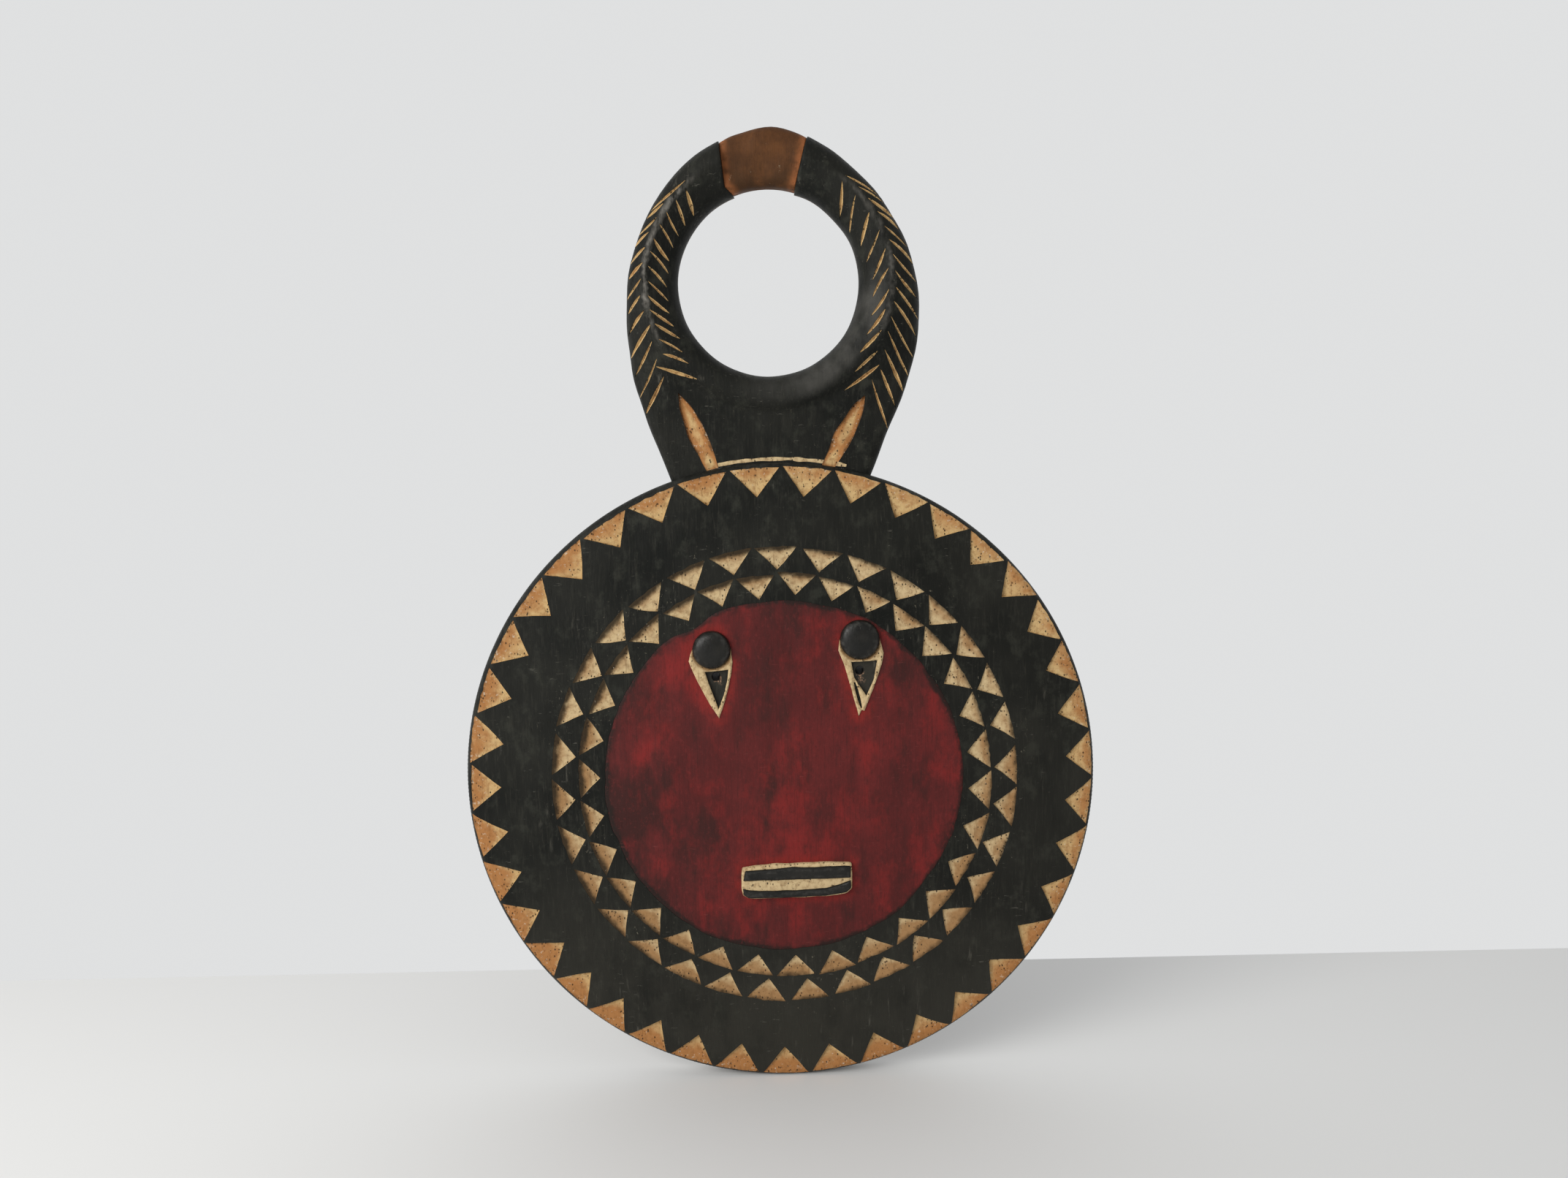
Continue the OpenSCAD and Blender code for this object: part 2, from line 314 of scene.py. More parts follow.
def rings_inside(loop, steps):
    """Rows of points inside a loop, at set distances from it."""
    rows = np.empty((0, 2))
    for step in steps:
        row = loop - outward(loop) * step
        row = row[(to_loop(row, loop) > step * 0.93) & inside(row, loop)]
        if len(rows):
            row = clear_of(row, rows, 0.4)
        rows = np.concatenate([rows, row])
    return rows


# ---- meshes

def sheet(outline, holes=(), creases=(), lines=(), points=()):
    """Flat triangles over an outline with holes. Creases (closed) and lines (open) stay edges."""
    verts, edges = [], []
    rows = [(row, len(row)) for row in (outline, *holes, *creases)]
    for row, count in rows + [(line, len(line) - 1) for line in lines]:
        first = len(verts)
        verts.extend(row)
        edges += [(first + i, first + (i + 1) % len(row)) for i in range(count)]
    verts.extend(points)
    result = delaunay_2d_cdt([Vector(v) for v in verts], edges, [], 0, 1e-5)
    flat = np.array([v[:] for v in result[0]])
    tris = np.array([list(f) for f in result[2]])
    a, b, c = flat[tris].transpose(1, 0, 2)
    area = cross(b - a, c - a)
    tris = np.where((area < 0)[:, None], tris[:, ::-1], tris)
    middle = (a + b + c) / 3
    keep = inside(middle, outline) & (np.abs(area) > 1e-6)
    for hole in holes:
        keep &= ~inside(middle, hole)
    tris = tris[keep]
    used = np.unique(tris)
    back = np.full(len(flat), -1)
    back[used] = np.arange(len(used))
    return flat[used], back[tris]


def filled(outline, step, gap=0.5, holes=(), creases=(), lines=(), points=(), avoid=()):
    """sheet() with a triangular grid of points in all its free room."""
    grid = hex_grid(outline.min(axis=0), outline.max(axis=0), step)
    grid = grid[inside(grid, outline)]
    for room in (*holes, *avoid):
        grid = grid[~inside(grid, room)]
    points = np.reshape(points, (-1, 2))
    taken = np.concatenate([outline, *holes, *creases, *lines, points])
    grid = clear_of(grid, taken, gap * step)
    return sheet(outline, holes, creases, lines, [*points, *grid])


def open_edges(tris):
    """The edges of triangles that no two of them share, each from point to point."""
    edges = np.concatenate([tris[:, [0, 1]], tris[:, [1, 2]], tris[:, [2, 0]]]).tolist()
    known = set(map(tuple, edges))
    return [(a, b) for a, b in edges if (b, a) not in known]


def border(area):
    """The longest closed outline of flat triangles."""
    return area[0][max(rings_of(dict(open_edges(area[1])), min), key=len)]


def solid(area, front, back, marks, back_area=None, back_plan=None):
    """Closed part over flat triangles, between two heights. Each mark is a value for all
    its points, or a pair of them for the front and the back."""
    flat, tris = area
    flat_b, tris_b = back_area or area
    first = len(flat)
    match = range(first)
    if back_area:
        spots = {tuple(np.round(p, 3)): i for i, p in enumerate(flat_b)}
        match = [spots.get(tuple(np.round(p, 3))) for p in flat]

    def both(ahead, behind):
        return np.concatenate([np.broadcast_to(ahead, first),
                               np.broadcast_to(behind, len(flat_b))])

    walls = [(b, a, first + match[a], first + match[b]) for a, b in open_edges(tris)]
    plan = np.concatenate([flat, flat_b if back_plan is None else back_plan])
    faces = tris.tolist() + (tris_b[:, ::-1] + first).tolist() + sorted(walls)
    pairs = {name: v if isinstance(v, tuple) else (v, v) for name, v in marks.items()}
    return plan, both(front, back), faces, {name: both(*v) for name, v in pairs.items()}


def put(name, data):
    """A new object in the scene."""
    made = bpy.data.objects.new(name, data)
    bpy.context.scene.collection.objects.link(made)
    return made


def piece(name, parts, look, sharp=38):
    """One Blender object from its solid parts, standing in the frame and riding on the root.
    It replaces the CAD node of its own name, and its slot has the name of its material."""
    verts, faces, marks, first = [], [], {}, 0
    for plan, heights, part_faces, values in parts:
        verts.append(np.stack([plan[:, 0], -heights, plan[:, 1]], axis=1) * MM)
        faces += [tuple(first + i for i in f) for f in part_faces]
        first += len(plan)
        for key, value in values.items():
            marks.setdefault(key, []).append(value)
    mesh = bpy.data.meshes.new(name)
    mesh.from_pydata(np.concatenate(verts).tolist(), [], faces)
    for key, value in marks.items():
        layer = mesh.attributes.new(key, "FLOAT", "POINT")
        layer.data.foreach_set("value", np.concatenate(value).astype(np.float32))
    mesh.materials.append(look)
    mesh.shade_smooth()
    mesh.set_sharp_from_angle(angle=math.radians(sharp))
    mesh.update()
    made = put(name, mesh)
    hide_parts(name)
    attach(made, "root")


# ---- the wood's surface

disc_mid, disc_size = extent("disc")
DISC_R = disc_size[0] / 2
SHOULDER_R = DISC_R - EDGE_ROUND
red_mid, red_size = extent("red_field")
RED_R = red_size[0] / 2


def face_height(points):
    """Height of the face board's front, uneven as a hand leaves it."""
    r = apart(points, disc_mid)
    dome = RIM_T + DOME_RISE * (1 - (np.minimum(r, SHOULDER_R) / DISC_R) ** 2)
    k = np.clip((r - SHOULDER_R) / EDGE_ROUND, 0, 1)
    height = EDGE_WALL + (dome - EDGE_WALL) * np.sqrt(1 - k * k)
    uneven = 0.3 * ripple(points, 34, 11) + 0.12 * ripple(points * [1, 0.4], 9, 12)
    return height + uneven * smooth(DISC_R - r, 0, 8)


def face_back(points):
    """Height of the face board's back: a gouged hollow inside a flat border."""
    r = apart(points, disc_mid)
    hollow = HOLLOW_DEPTH * np.clip(1 - (r / HOLLOW_R) ** 4, 0, None)
    scoops = gouges(points, 13, 42, 21) * smooth(HOLLOW_R - r, -1, 9)
    bevel = 0.9 * np.clip(r - (DISC_R - 1.4), 0, None)
    return np.maximum(hollow - scoops, 0) + bevel + 0.12 * (1 + ripple(points, 16, 22))


# ---- cuts

def chip(loop, rng, deep, shallow):
    """One triangular chip cut from its CAD outline: a stop cut down each side of the tip,
    and a floor that slopes up from the tip to the base."""
    trio = max(combinations(corners_of(anticlockwise(loop), 0.3), 3),
               key=lambda t: abs(cross(t[1] - t[0], t[2] - t[0])))
    trio = sorted(trio, key=lambda p: apart(p, disc_mid))
    tip, one, two = [p + rng.normal(0, 0.45, 2) for p in trio]
    if cross(one - tip, two - tip) < 0:
        one, two = two, one
    turn = math.degrees(math.atan2(*((one + two) / 2 - disc_mid)))
    if apart(one, disc_mid) > DISC_R - 8:
        drawn = 0.2 + 1.9 * math.exp(-((turn + 42) / 42) ** 2) + rng.uniform(-0.3, 0.4)
        one, two = [disc_mid + (p - disc_mid) * (1 - max(0, drawn) / DISC_R) for p in (one, two)]
    base = (one + two) / 2
    bulge = (apart(one, disc_mid) + apart(two, disc_mid)) / 2 - apart(base, disc_mid)
    out = (base - disc_mid) / apart(base, disc_mid)
    bows = [rng.normal(0, 0.3), None, rng.normal(0, 0.3)]
    outline = []
    for a, b, bow in zip((tip, one, two), (one, two, tip), bows):
        line = walk(np.array([a, b]), 1.4)[:-1]
        t = np.linspace(0, 1, len(line) + 1)[:-1, None]
        normal = np.array([b[1] - a[1], a[0] - b[0]]) / apart(a, b)
        bend, rough = (out * bulge, 0.35) if bow is None else (normal * bow, 0.09)
        line = line + bend * 4 * t * (1 - t)
        uneven = (rough * ripple(line, 4, rng.integers(1 << 30)))[:, None]
        outline.append(line + normal * uneven * 4 * t * (1 - t))
    outline = np.concatenate(outline)
    # Each chip's base is darkened: a brown burn on all of them, and painted shade, stronger on the
    # chips towards the upper left.
    facing = {place: math.cos(math.radians(turn - place)) for place in (15, -60)}
    return {"outline": outline, "floor": outline - outward(outline) * WALL_W,
            "slope": (base, tip), "curve": 0.9, "shallow": shallow,
            "deep": deep * rng.uniform(0.85, 1.15),
            "tone": float(np.clip(rng.random() * 0.6 + 0.3 - 0.4 * facing[15], 0, 1)),
            "burn": 0.45 + 0.55 * float(smooth(facing[-60], -0.3, 0.9))}


def cut_depth(cut, points):
    """Depth of a cut's floor: level, or falling along its slope."""
    if "slope" not in cut:
        return np.full(len(points), cut["deep"])
    s = share(points, *cut["slope"]) ** cut["curve"]
    return cut["shallow"] + (cut["deep"] - cut["shallow"]) * s


def chip_row(node, seed, deep, shallow):
    """All the chip cuts of one CAD node, in order round the disc."""
    rng = np.random.default_rng(seed)
    loops = sorted(outlines(node), key=lambda l: math.atan2(*(l.mean(axis=0) - disc_mid)))
    return [chip(loop, rng, deep, shallow) for loop in loops]


def dig(points, cuts, beyond=0.0):
    """Depth of the cuts' floors under the wood at each point, deeper by beyond off the edges."""
    depth = np.zeros(len(points))
    for cut in cuts:
        here = np.flatnonzero(inside(points, cut["outline"]))
        wall = to_loop(points[here], cut["outline"]) / cut.get("wall", WALL_W)
        wall = np.clip(wall, 0, 1)
        wall[wall < 0.1] = 0
        wall[wall > 0.8] = 1
        depth[here] = np.maximum(depth[here], wall * (cut_depth(cut, points[here]) + beyond))
    return depth


outer_chips = chip_row("outer_triangles", 31, 2.6, 0.25)
middle_chips = chip_row("middle_triangles", 32, 2.1, 0.1)
inner_chips = chip_row("inner_triangles", 33, 2.1, 0.1)
all_chips = outer_chips + middle_chips + inner_chips


def lining(cut, area, surface, sunk, marks):
    """The thin coat of pigment in one cut."""
    top = surface(area[0]) - np.maximum(dig(area[0], [cut]), sunk)
    return solid(area, top, top - PIGMENT_T, marks)


def chip_pigment(cut):
    area = filled(cut["outline"], 1.9, 0.45, creases=[cut["floor"]])
    flat = area[0]
    marks = {"base": 1 - share(flat, *cut["slope"]), "tone": cut["tone"], "burn": cut["burn"],
             "side": (fade(to_loop(flat, cut["outline"]), 3), 1)}
    return lining(cut, area, face_height, PIGMENT_SUNK, marks)


# ---- eyes and mouth

# From each dome's middle: the V's outside from its left end to its right, and its black floor.
EYES = {
    "left": {
        "v": [[-13.0, 0.5], [-15.6, -7.5], [-11.2, -18.8], [-3.4, -34.6], [4.0, -46.6],
              [8.6, -33.8], [12.9, -16.4], [13.8, -8.5], [13.0, 0.5]],
        "floor": [[-4.9, -15.0], [-2.6, -22.8], [3.7, -40.4], [7.6, -30.6], [10.2, -20.4],
                  [11.0, -13.6], [7.0, -14.1], [2.0, -14.5]],
        "slit": [],
        "hole": [2.4, -18.6],
        "scuff": [4.9, -21.9],
    },
    "right": {
        "v": [[-13.5, 0.5], [-14.4, -7.0], [-10.4, -18.0], [-6.5, -32.2], [-1.5, -52.0],
              [0.6, -47.8], [2.4, -48.2], [9.6, -30.7], [14.4, -17.2], [15.8, -9.3], [13.4, 0.5]],
        "floor": [[-6.0, -14.9], [-4.2, -25.5], [-2.5, -28.5], [4.0, -38.2], [9.0, -27.5],
                  [11.6, -14.2], [6.0, -14.6], [0, -14.9]],
        "slit": [[-4.6, -28.5], [-3.7, -34], [-2.0, -41], [0.1, -46.6], [0.9, -46.4], [0.1, -41],
                 [-1.6, -34], [-3.4, -28.9]],
        "hole": [-0.5, -21.2],
        "scuff": [0.3, -26.6],
    },
}
DOME_H = 6.6
DOME_WALL = 1.6
DOME_FIT = 0.985
SIGHT_R = 2.75
SIGHT_CLIMB = 3.6


def placed(points, step, middle):
    """A drawn outline in steps, set round its eye's middle."""
    return anticlockwise(walk_loop(np.array(points), step) + middle)


def eye_shape(side):
    """Places and outlines of one eye, all on the mask."""
    middle, size = extent("eye_dome_" + side)
    drawn = EYES[side]
    edge = size[0] / 2 * DOME_FIT
    start, stop = [math.degrees(math.atan2(*drawn["v"][i])) for i in (0, -1)]
    over = polar(np.linspace(stop, start, 26)[1:-1], edge)
    under = polar(np.linspace(stop, 360 + start, 22)[1:-1], edge)
    return {
        "middle": middle, "radius": size[0] / 2, "edge": edge,
        "opening": placed([*drawn["v"], *over], 2, middle),
        "rim": placed([*drawn["v"], *under], 1.3, middle),
        "floor": placed(drawn["floor"], 1.3, middle),
        "slit": [placed(loop, 1.3, middle) for loop in [drawn["slit"]] if loop],
        "hole": drawn["hole"] + middle,
        "scuff": drawn["scuff"] + middle,
    }


eyes = {side: eye_shape(side) for side in EYES}


def sight_loop(eye):
    """Edge of a sight hole, a little out of round."""
    turn = around(20)
    wear = 1 + 0.06 * np.sin(np.radians(2 * turn + 40)) + 0.04 * np.sin(np.radians(3 * turn))
    return anticlockwise(eye["hole"] + polar(turn, SIGHT_R) * wear[:, None])


mouth_mid = extent("mouth_block")[0]
# From the mouth's middle: the bar's outside, and its two black lips.
MOUTH = [[-37.2, 9.4], [-27.6, 10.9], [-14.4, 11.9], [0, 12.1], [19, 12.6], [37.6, 11.8],
         [38.0, 0], [37.9, -6.2], [34, -9.6], [20, -11.3], [0, -12.0], [-25.5, -12.2],
         [-33, -12.1], [-37.0, -9.5], [-38, -5]]
UPPER_LIP = [[-36.6, 0.8], [0, 1.4], [37.0, 1.8], [37.0, 10.2], [24, 10.5], [10, 9.9], [-3, 10.4],
             [-15, 9.3], [-35, 8.0]]
LOWER_LIP = [[-36.8, -4.4], [-33, -5.6], [-25, -6.3], [0, -6.2], [20, -5], [30, -2.4],
             [37, 0.2], [37.1, -5.6], [34, -8.6], [20, -10.5], [0, -11.3], [-25, -11.6],
             [-33, -11.5], [-36.4, -9.2]]
mouth_loop = waver(anticlockwise(soften(MOUTH, 3) + mouth_mid), 0.2, 9, 51)


def red_outline():
    """Edge of the painted field, as a brush leaves it."""
    turn = around(360)
    edge = polar(turn, RED_R)
    waver = 0.8 * ripple(edge, 26, 41) + 0.35 * ripple(edge, 7, 42) - 0.5
    dent = 3.0 * np.exp(-((turn - 332) / 5.5) ** 2)
    return anticlockwise(red_mid + polar(turn, RED_R + waver - dent))


red_loop = red_outline()


# ---- face pieces

def scuff_mark(points, eye):
    """Bare wood on the lip of a sight hole, on the side where it was opened out."""
    away = points - eye["hole"]
    reach = np.hypot(*away.T)
    side = (eye["scuff"] - eye["hole"]) / apart(eye["scuff"], eye["hole"])
    lip_side = smooth(away @ side / np.maximum(0.1, reach), 0.35, 0.75)
    crescent = lip_side * (1 - smooth(np.abs(reach - SIGHT_R - 0.2), 0.3, 1.2))
    spot = 0.8 * (1 - smooth(apart(points, eye["scuff"]), 0.6, 2.0))
    return np.maximum(crescent, spot)


def disc():
    """Face board, with beds for the pigments and an uneven, gouged hollow behind."""
    both = eyes.values()
    turn = around(480)
    outline = anticlockwise(disc_mid + polar(turn, DISC_R))
    holes = [sight_loop(eye) for eye in both]
    rows = [disc_mid + polar(turn + 0.375 * (i % 2), DISC_R - d)
            for i, d in enumerate((0.2, 0.8, 1.8, 3.0, 4.5, 6.0))]
    rows += [eye["hole"] + polar(around(24) + 7.5 * i, SIGHT_R + 0.7 * i)
             for eye in both for i in (1, 2, 3, 4)]
    red_bed = {"outline": red_loop, "deep": RED_BED, "wall": 0.3}
    floors = [{"outline": eye["floor"] + outward(eye["floor"]) * 1.2, "deep": 1.0, "wall": 0.5}
              for eye in both]
    chips = [cut["outline"] for cut in all_chips]
    creases = chips + [cut["floor"] for cut in all_chips]
    creases += [red_loop, red_loop - outward(red_loop) * 0.3] + [f["outline"] for f in floors]
    loose = np.concatenate(rows)
    for room in chips:
        loose = loose[~inside(loose, room)]
    loose = clear_of(loose, np.concatenate(creases), 0.7)
    area = filled(outline, 3.0, holes=holes, creases=creases, points=loose, avoid=chips)
    flat = area[0]
    top = face_height(flat) - dig(flat, all_chips, BED_GAP) - dig(flat, [red_bed])
    top = top - dig(flat, floors)
    back_rows = disc_mid + polar(np.concatenate([turn[::2], turn[::2] + 0.4]),
                                 np.repeat([DISC_R - 1.4, DISC_R - 3.4], 240))
    back_area = filled(outline, 3.6, holes=holes, points=back_rows)
    plan = back_area[0].copy()
    for eye in both:
        plan[:, 1] += SIGHT_CLIMB * (1 - smooth(apart(back_area[0], eye["hole"]), 3.2, 15))
    ahead, behind = [np.min([apart(points, eye["hole"]) for eye in both], axis=0)
                     for points in (flat, plan)]
    rows_mid = (extent("middle_triangles")[0] + extent("inner_triangles")[0]) / 2
    rings = apart(flat, rows_mid)
    bare = np.max([inside(flat, eye["floor"]) for eye in both], axis=0)
    # Painted light: the face greyer towards the bottom and the right.
    low = smooth(disc_mid[1] - flat[:, 1], 20, 205)
    right = 0.4 * smooth(flat[:, 0] - disc_mid[0], 60, 190)
    marks = {
        "worn": (0.6 * smooth(apart(flat, disc_mid), DISC_R - 4, DISC_R - 0.5), 0.35),
        "dust": (smooth(rings, 112, 128) * (1 - smooth(rings, 160, 176)), 0),
        # Bare wood behind, kept black round the sight holes as painted shade.
        "raw": (0, smooth(behind, 6.5, 12)),
        "chip": (np.max([scuff_mark(flat, eye) for eye in both], axis=0), 0),
        "grey_and_lit": (np.max([bare, low, right], axis=0), 0),
        # deep: painted shade inside the sight holes and on the back round them.
        "deep": (1 - smooth(ahead, SIGHT_R + 0.05, SIGHT_R + 0.6), 1 - smooth(behind, 5, 9)),
    }
    part = solid(area, top, face_back(plan), marks, back_area, plan)
    piece("disc", [part], black_wood)


# Broad patches in the red: across and up from its middle, width, and how strong.
BRIGHT = [(-56, 97, 13, 1.0), (-71, 78, 12, 0.8), (-62, 64, 11, 0.8), (-93, 21, 10, 0.5),
          (-66, 44, 16, 0.4), (-70, 8, 17, 0.3), (12, -50, 34, 1.1), (-34, -78, 18, 0.6),
          (107, 8, 12, 0.6), (100, 44, 12, 0.8), (104, -46, 20, 0.5), (48, 108, 14, 0.8),
          (74, 102, 10, 0.8), (14, 2, 9, 0.5), (50, 30, 16, 0.3), (66, -84, 18, 0.4)]
DULL = [(-103, -16, 24, 1.2), (-91, 54, 13, 0.8), (-60, -54, 26, 0.6), (-86, -78, 16, 0.8),
        (0, -14, 24, 0.4), (12, 110, 17, 0.8), (79, 72, 12, 1.0), (106, 60, 11, 0.9),
        (82, 0, 18, 0.3), (-10, 62, 18, 0.4), (-30, -112, 14, 0.7), (40, -108, 16, 0.5)]


def patches(points, spots):
    """How far each point is within a set of soft upright patches."""
    total = np.zeros(len(points))
    for x, y, width, amount in spots:
        away = (points - red_mid - [x, y]) / [width, width * 1.35]
        total = np.maximum(total, amount * np.exp(-(away ** 2).sum(axis=1)))
    return total


def red_field():
    """Thin coat of red paint in its bed, open round the eyes and the mouth."""
    holes = [eye["opening"] for eye in eyes.values()] + [mouth_loop]
    area = filled(red_loop, 2.8, holes=holes, points=rings_inside(red_loop, [0.5, 2]))
    flat = area[0]
    edge = to_loop(flat, red_loop)
    top = face_height(flat) - 0.05 - 0.25 * (1 - smooth(edge, 0, 0.6))
    relief = np.min([to_loop(flat, hole) for hole in holes], axis=0)
    marks = {"edge": (1 - smooth(edge, 0, 9), 1), "relief": (1 - smooth(relief, 0, 9), 1),
             "bright": (patches(flat, BRIGHT), 0), "dull": (patches(flat, DULL), 0)}
    piece("red_field", [solid(area, top, top - RED_BED, marks)], red_pigment)


def eye_dome(side):
    """Low button of an eye: an upright edge, a round shoulder and a nearly flat crown."""
    middle, edge = eyes[side]["middle"], eyes[side]["edge"]
    outline = anticlockwise(middle + polar(around(56), edge))
    rows = [middle + polar(around(56) + 3.2 * (i % 2), edge * k)
            for i, k in enumerate((0.985, 0.95, 0.9, 0.83, 0.74))]
    area = filled(outline, 1.5, points=np.concatenate(rows))
    flat = area[0]
    k = np.clip(apart(flat, middle) / edge, 0, 1)
    base = float(face_height(middle[None])[0])
    top = base + DOME_WALL + (DOME_H - DOME_WALL) * (1 - k ** 2.7) ** 0.5
    top = top + 0.1 * ripple(flat, 6, 61) * (1 - k)
    marks = {"worn": (smooth(k, 0.55, 0.9) * (1 - smooth(k, 0.97, 1)), 0)}
    piece("eye_dome_" + side, [solid(area, top, base - RED_BED - 1, marks)], rubbed_black, 50)


def eye_rim(side):
    """Cream V under a dome, with its arms rounded over."""
    eye = eyes[side]
    rim = waver(eye["rim"], 0.12, 5, 71 + (side == "right"))
    holes = [eye["floor"]] + eye["slit"]
    area = filled(rim, 1.0, 0.45, holes)
    flat = area[0]
    edge = np.min([to_loop(flat, loop) for loop in [rim] + holes], axis=0)
    hug = apart(flat, eye["middle"]) - eye["radius"]
    rise = 1.5 - 0.9 * fade(edge, 1.3) ** 2 - 0.7 * (1 - smooth(hug, 0, 2.5))
    # base: painted shade where the V's arms meet the dome.
    marks = {"base": (0.95 * (1 - smooth(hug, 0, 3.2)), 0), "tone": 0.5,
             "side": (fade(edge, 1.2), 1)}
    part = solid(area, face_height(flat) + rise, face_height(flat) - RED_BED - SEAT, marks)
    piece("eye_rim_" + side, [part], cream_pigment)


def mouth_block():
    """Cream bar of the mouth, with its edges eased."""
    area = filled(mouth_loop, 1.8, points=rings_inside(mouth_loop, [0.3, 0.8, 1.5]))
    flat = area[0]
    edge = to_loop(flat, mouth_loop)
    top = face_height(flat) + 3.4 - 1.1 * fade(edge, 1.4) ** 2 + 0.12 * ripple(flat, 5, 81)
    marks = {"tone": 0.35, "side": (fade(edge, 2), 1)}
    part = solid(area, top, face_height(flat) - RED_BED - SEAT, marks)
    piece("mouth_block", [part], cream_pigment)


def lip(name, outline, seed):
    """One bull-nosed black lip along the mouth."""
    loop = waver(anticlockwise(soften(outline, 2.4) + mouth_mid), 0.12, 6, seed)
    area = filled(loop, 1.2, points=rings_inside(loop, [0.25, 0.7, 1.3, 2.1]))
    flat = area[0]
    edge = np.clip(to_loop(flat, loop) / 3.2, 0, 1)
    top = face_height(flat) + 3.5 + 1.8 * np.sqrt(1 - (1 - edge) ** 2)
    top = top + 0.1 * ripple(flat, 7, seed + 1) * edge
    marks = {"worn": (0.7 * smooth(edge, 0.15, 0.6) * (1 - smooth(edge, 0.7, 1)), 0)}
    piece(name, [solid(area, top, face_height(flat) + 2, marks)], rubbed_black, 50)


# ---- neck, horns and bridge

crest_loop = anticlockwise(max(outlines("crest", forward=False), key=len))
bridge_loop = anticlockwise(max(outlines("tip_bridge", forward=False), key=len))


def opening_middle(name):
    """Middle of one of the record's openings, across and up the mask, in mm."""
    found = [o for o in frame["record"]["physics"]["openings"] if o["name"] == name][0]
    low, high = np.array(found["box_m"])
    return (low + high)[[0, 2]] / 2 / MM


ring_mid = opening_middle("horn_ring")
RING_R = apart(crest_loop, ring_mid).min()
SPINE_R = RING_R + 21
SPINE_HALF = 21


def round_ring(points):
    """Distance of points from the ring's middle, and their angle from its top, in degrees."""
    away = points - ring_mid
    return np.hypot(*away.T), np.abs(np.degrees(np.arctan2(away[:, 0], away[:, 1])))


def horn_height(points):
    """Height of the neck and horns: a ridge up each horn, and a roll round the ring's foot."""
    r, angle = round_ring(points)
    foot = smooth(angle, 108, 150)
    u = np.abs(r - SPINE_R) / SPINE_HALF
    ridge = 0.5 * np.clip(1.05 - np.sqrt(u * u + 0.0025), 0, 1) + 0.5 * np.clip(1 - u * u, 0, 1)
    roll = 0.62 * np.clip(1 - ((r - RING_R - 11) / 13) ** 2, 0, 1)
    uneven = 0.35 * ripple(points, 22, 91) + 0.1 * ripple(points, 6, 92)
    return NECK_T - 0.4 + SPINE_RISE * ((1 - foot) * ridge + foot * roll) + uneven * 0.8


def drop(edge, radius):
    """How far a rounded edge has fallen, at a distance from it."""
    return radius * (1 - np.sqrt(1 - fade(edge, radius) ** 2))


def split_edges(loop, mate):
    """The stretches of a loop that run free, and those that meet a mate's outline."""
    ends = np.roll(loop, -1, axis=0)
    middles = (loop + ends) / 2
    met = to_loop(middles, mate) < 0.6
    buried = apart(middles, disc_mid) < DISC_R + 0.6
    free = ~(met | buried)
    return (loop[free], ends[free]), (loop[met], ends[met])


HORN_EASE = 7
EASED_ROWS = [0.4, 1.1, 2.1, 3.4, 5, 7]
crest_line = walk_loop(corners_of(crest_loop, 0.05), 2.0)
crest_free = split_edges(crest_line, bridge_loop)[0]


def horn_surface(points):
    """Height of the crest with its rounded edges, and without its cuts."""
    return horn_height(points) - drop(distance(points, *crest_free), HORN_EASE)


OUTER_REACH = 9


def stroke(loop, rng, deep, taken):
    """One slender V cut, from its CAD outline's two ends, clear of the cuts before it."""
    gaps = apart(loop[:, None], loop)
    pair = loop[list(np.unravel_index(np.argmax(gaps), gaps.shape))] + rng.normal(0, 0.3, (2, 2))
    near, far = sorted(pair, key=lambda p: apart(p, ring_mid))
    if apart(far, ring_mid) > SPINE_R + 5:
        along = (far - near) / apart(far, near)
        near, far = near - along * 1.2, far + along * OUTER_REACH
    ends = walk(np.array([near, far]), 0.5)
    ends = ends[inside(ends, crest_loop) & (to_loop(ends, crest_loop) > 0.7)]
    for line in taken:
        free = ends[distance(ends, line[:-1], line[1:]) > 2.0]
        ends = free if len(free) > 8 else ends
    a, b = ends[0], ends[-1]
    length = apart(a, b)
    along = (b - a) / length
    across = np.array([-along[1], along[0]])
    t = np.linspace(0, 1, max(8, int(length / 1.6)))
    bow = rng.normal(0, 0.5)
    middle = a + (b - a) * t[:, None] + across * (bow * 4 * t * (1 - t))[:, None]
    half = rng.uniform(0.7, 1.4) * np.sin(math.pi * t ** rng.uniform(0.8, 1.25)) ** 0.7
    half = half * (1 + 0.12 * ripple(middle, 3, rng.integers(1 << 30)))
    left, right = middle + across * half[:, None], middle - across * half[:, None]
    outline = np.concatenate([middle[:1], right[1:-1], middle[-1:], left[1:-1][::-1]])
    return {"outline": anticlockwise(outline), "line": middle[1:-1],
            "deep": deep * half.max() / 1.1, "wall": max(0.5, half.max() * 0.9),
            "tone": rng.random()}


def stroke_row(node, seed):
    """All the strokes of one horn, from the lowest up."""
    rng = np.random.default_rng(seed)
    loops = sorted(outlines(node), key=lambda l: (round(l[:, 1].mean(), 1), l[:, 0].mean()))
    found = []
    for loop in loops:
        if len(loop) > 3:
            found.append(stroke(loop, rng, 1.5, [cut["line"] for cut in found]))
    return found


strokes = {side: stroke_row("horn_cuts_" + side, seed)
           for side, seed in (("left", 101), ("right", 102))}


def ear_cut(side):
    """Leaf-shaped scoop of an ear: a stop cut down its outer side, shallow on its inner."""
    right = side == "right"
    loop = anticlockwise(corners_of(max(outlines("ear_" + side), key=len), 0.15))
    loop = waver(walk_loop(loop, 1.5), 0.25, 7, 111 + right)
    middle = extent("ear_" + side)[0]
    lean = np.array([0.9 if right else -0.9, 0.42]) * 5
    return {"outline": loop, "floor": loop - outward(loop) * 0.45, "wall": 0.45,
            "slope": (middle - lean, middle + lean), "curve": 1, "shallow": 0.5, "deep": 2.2}


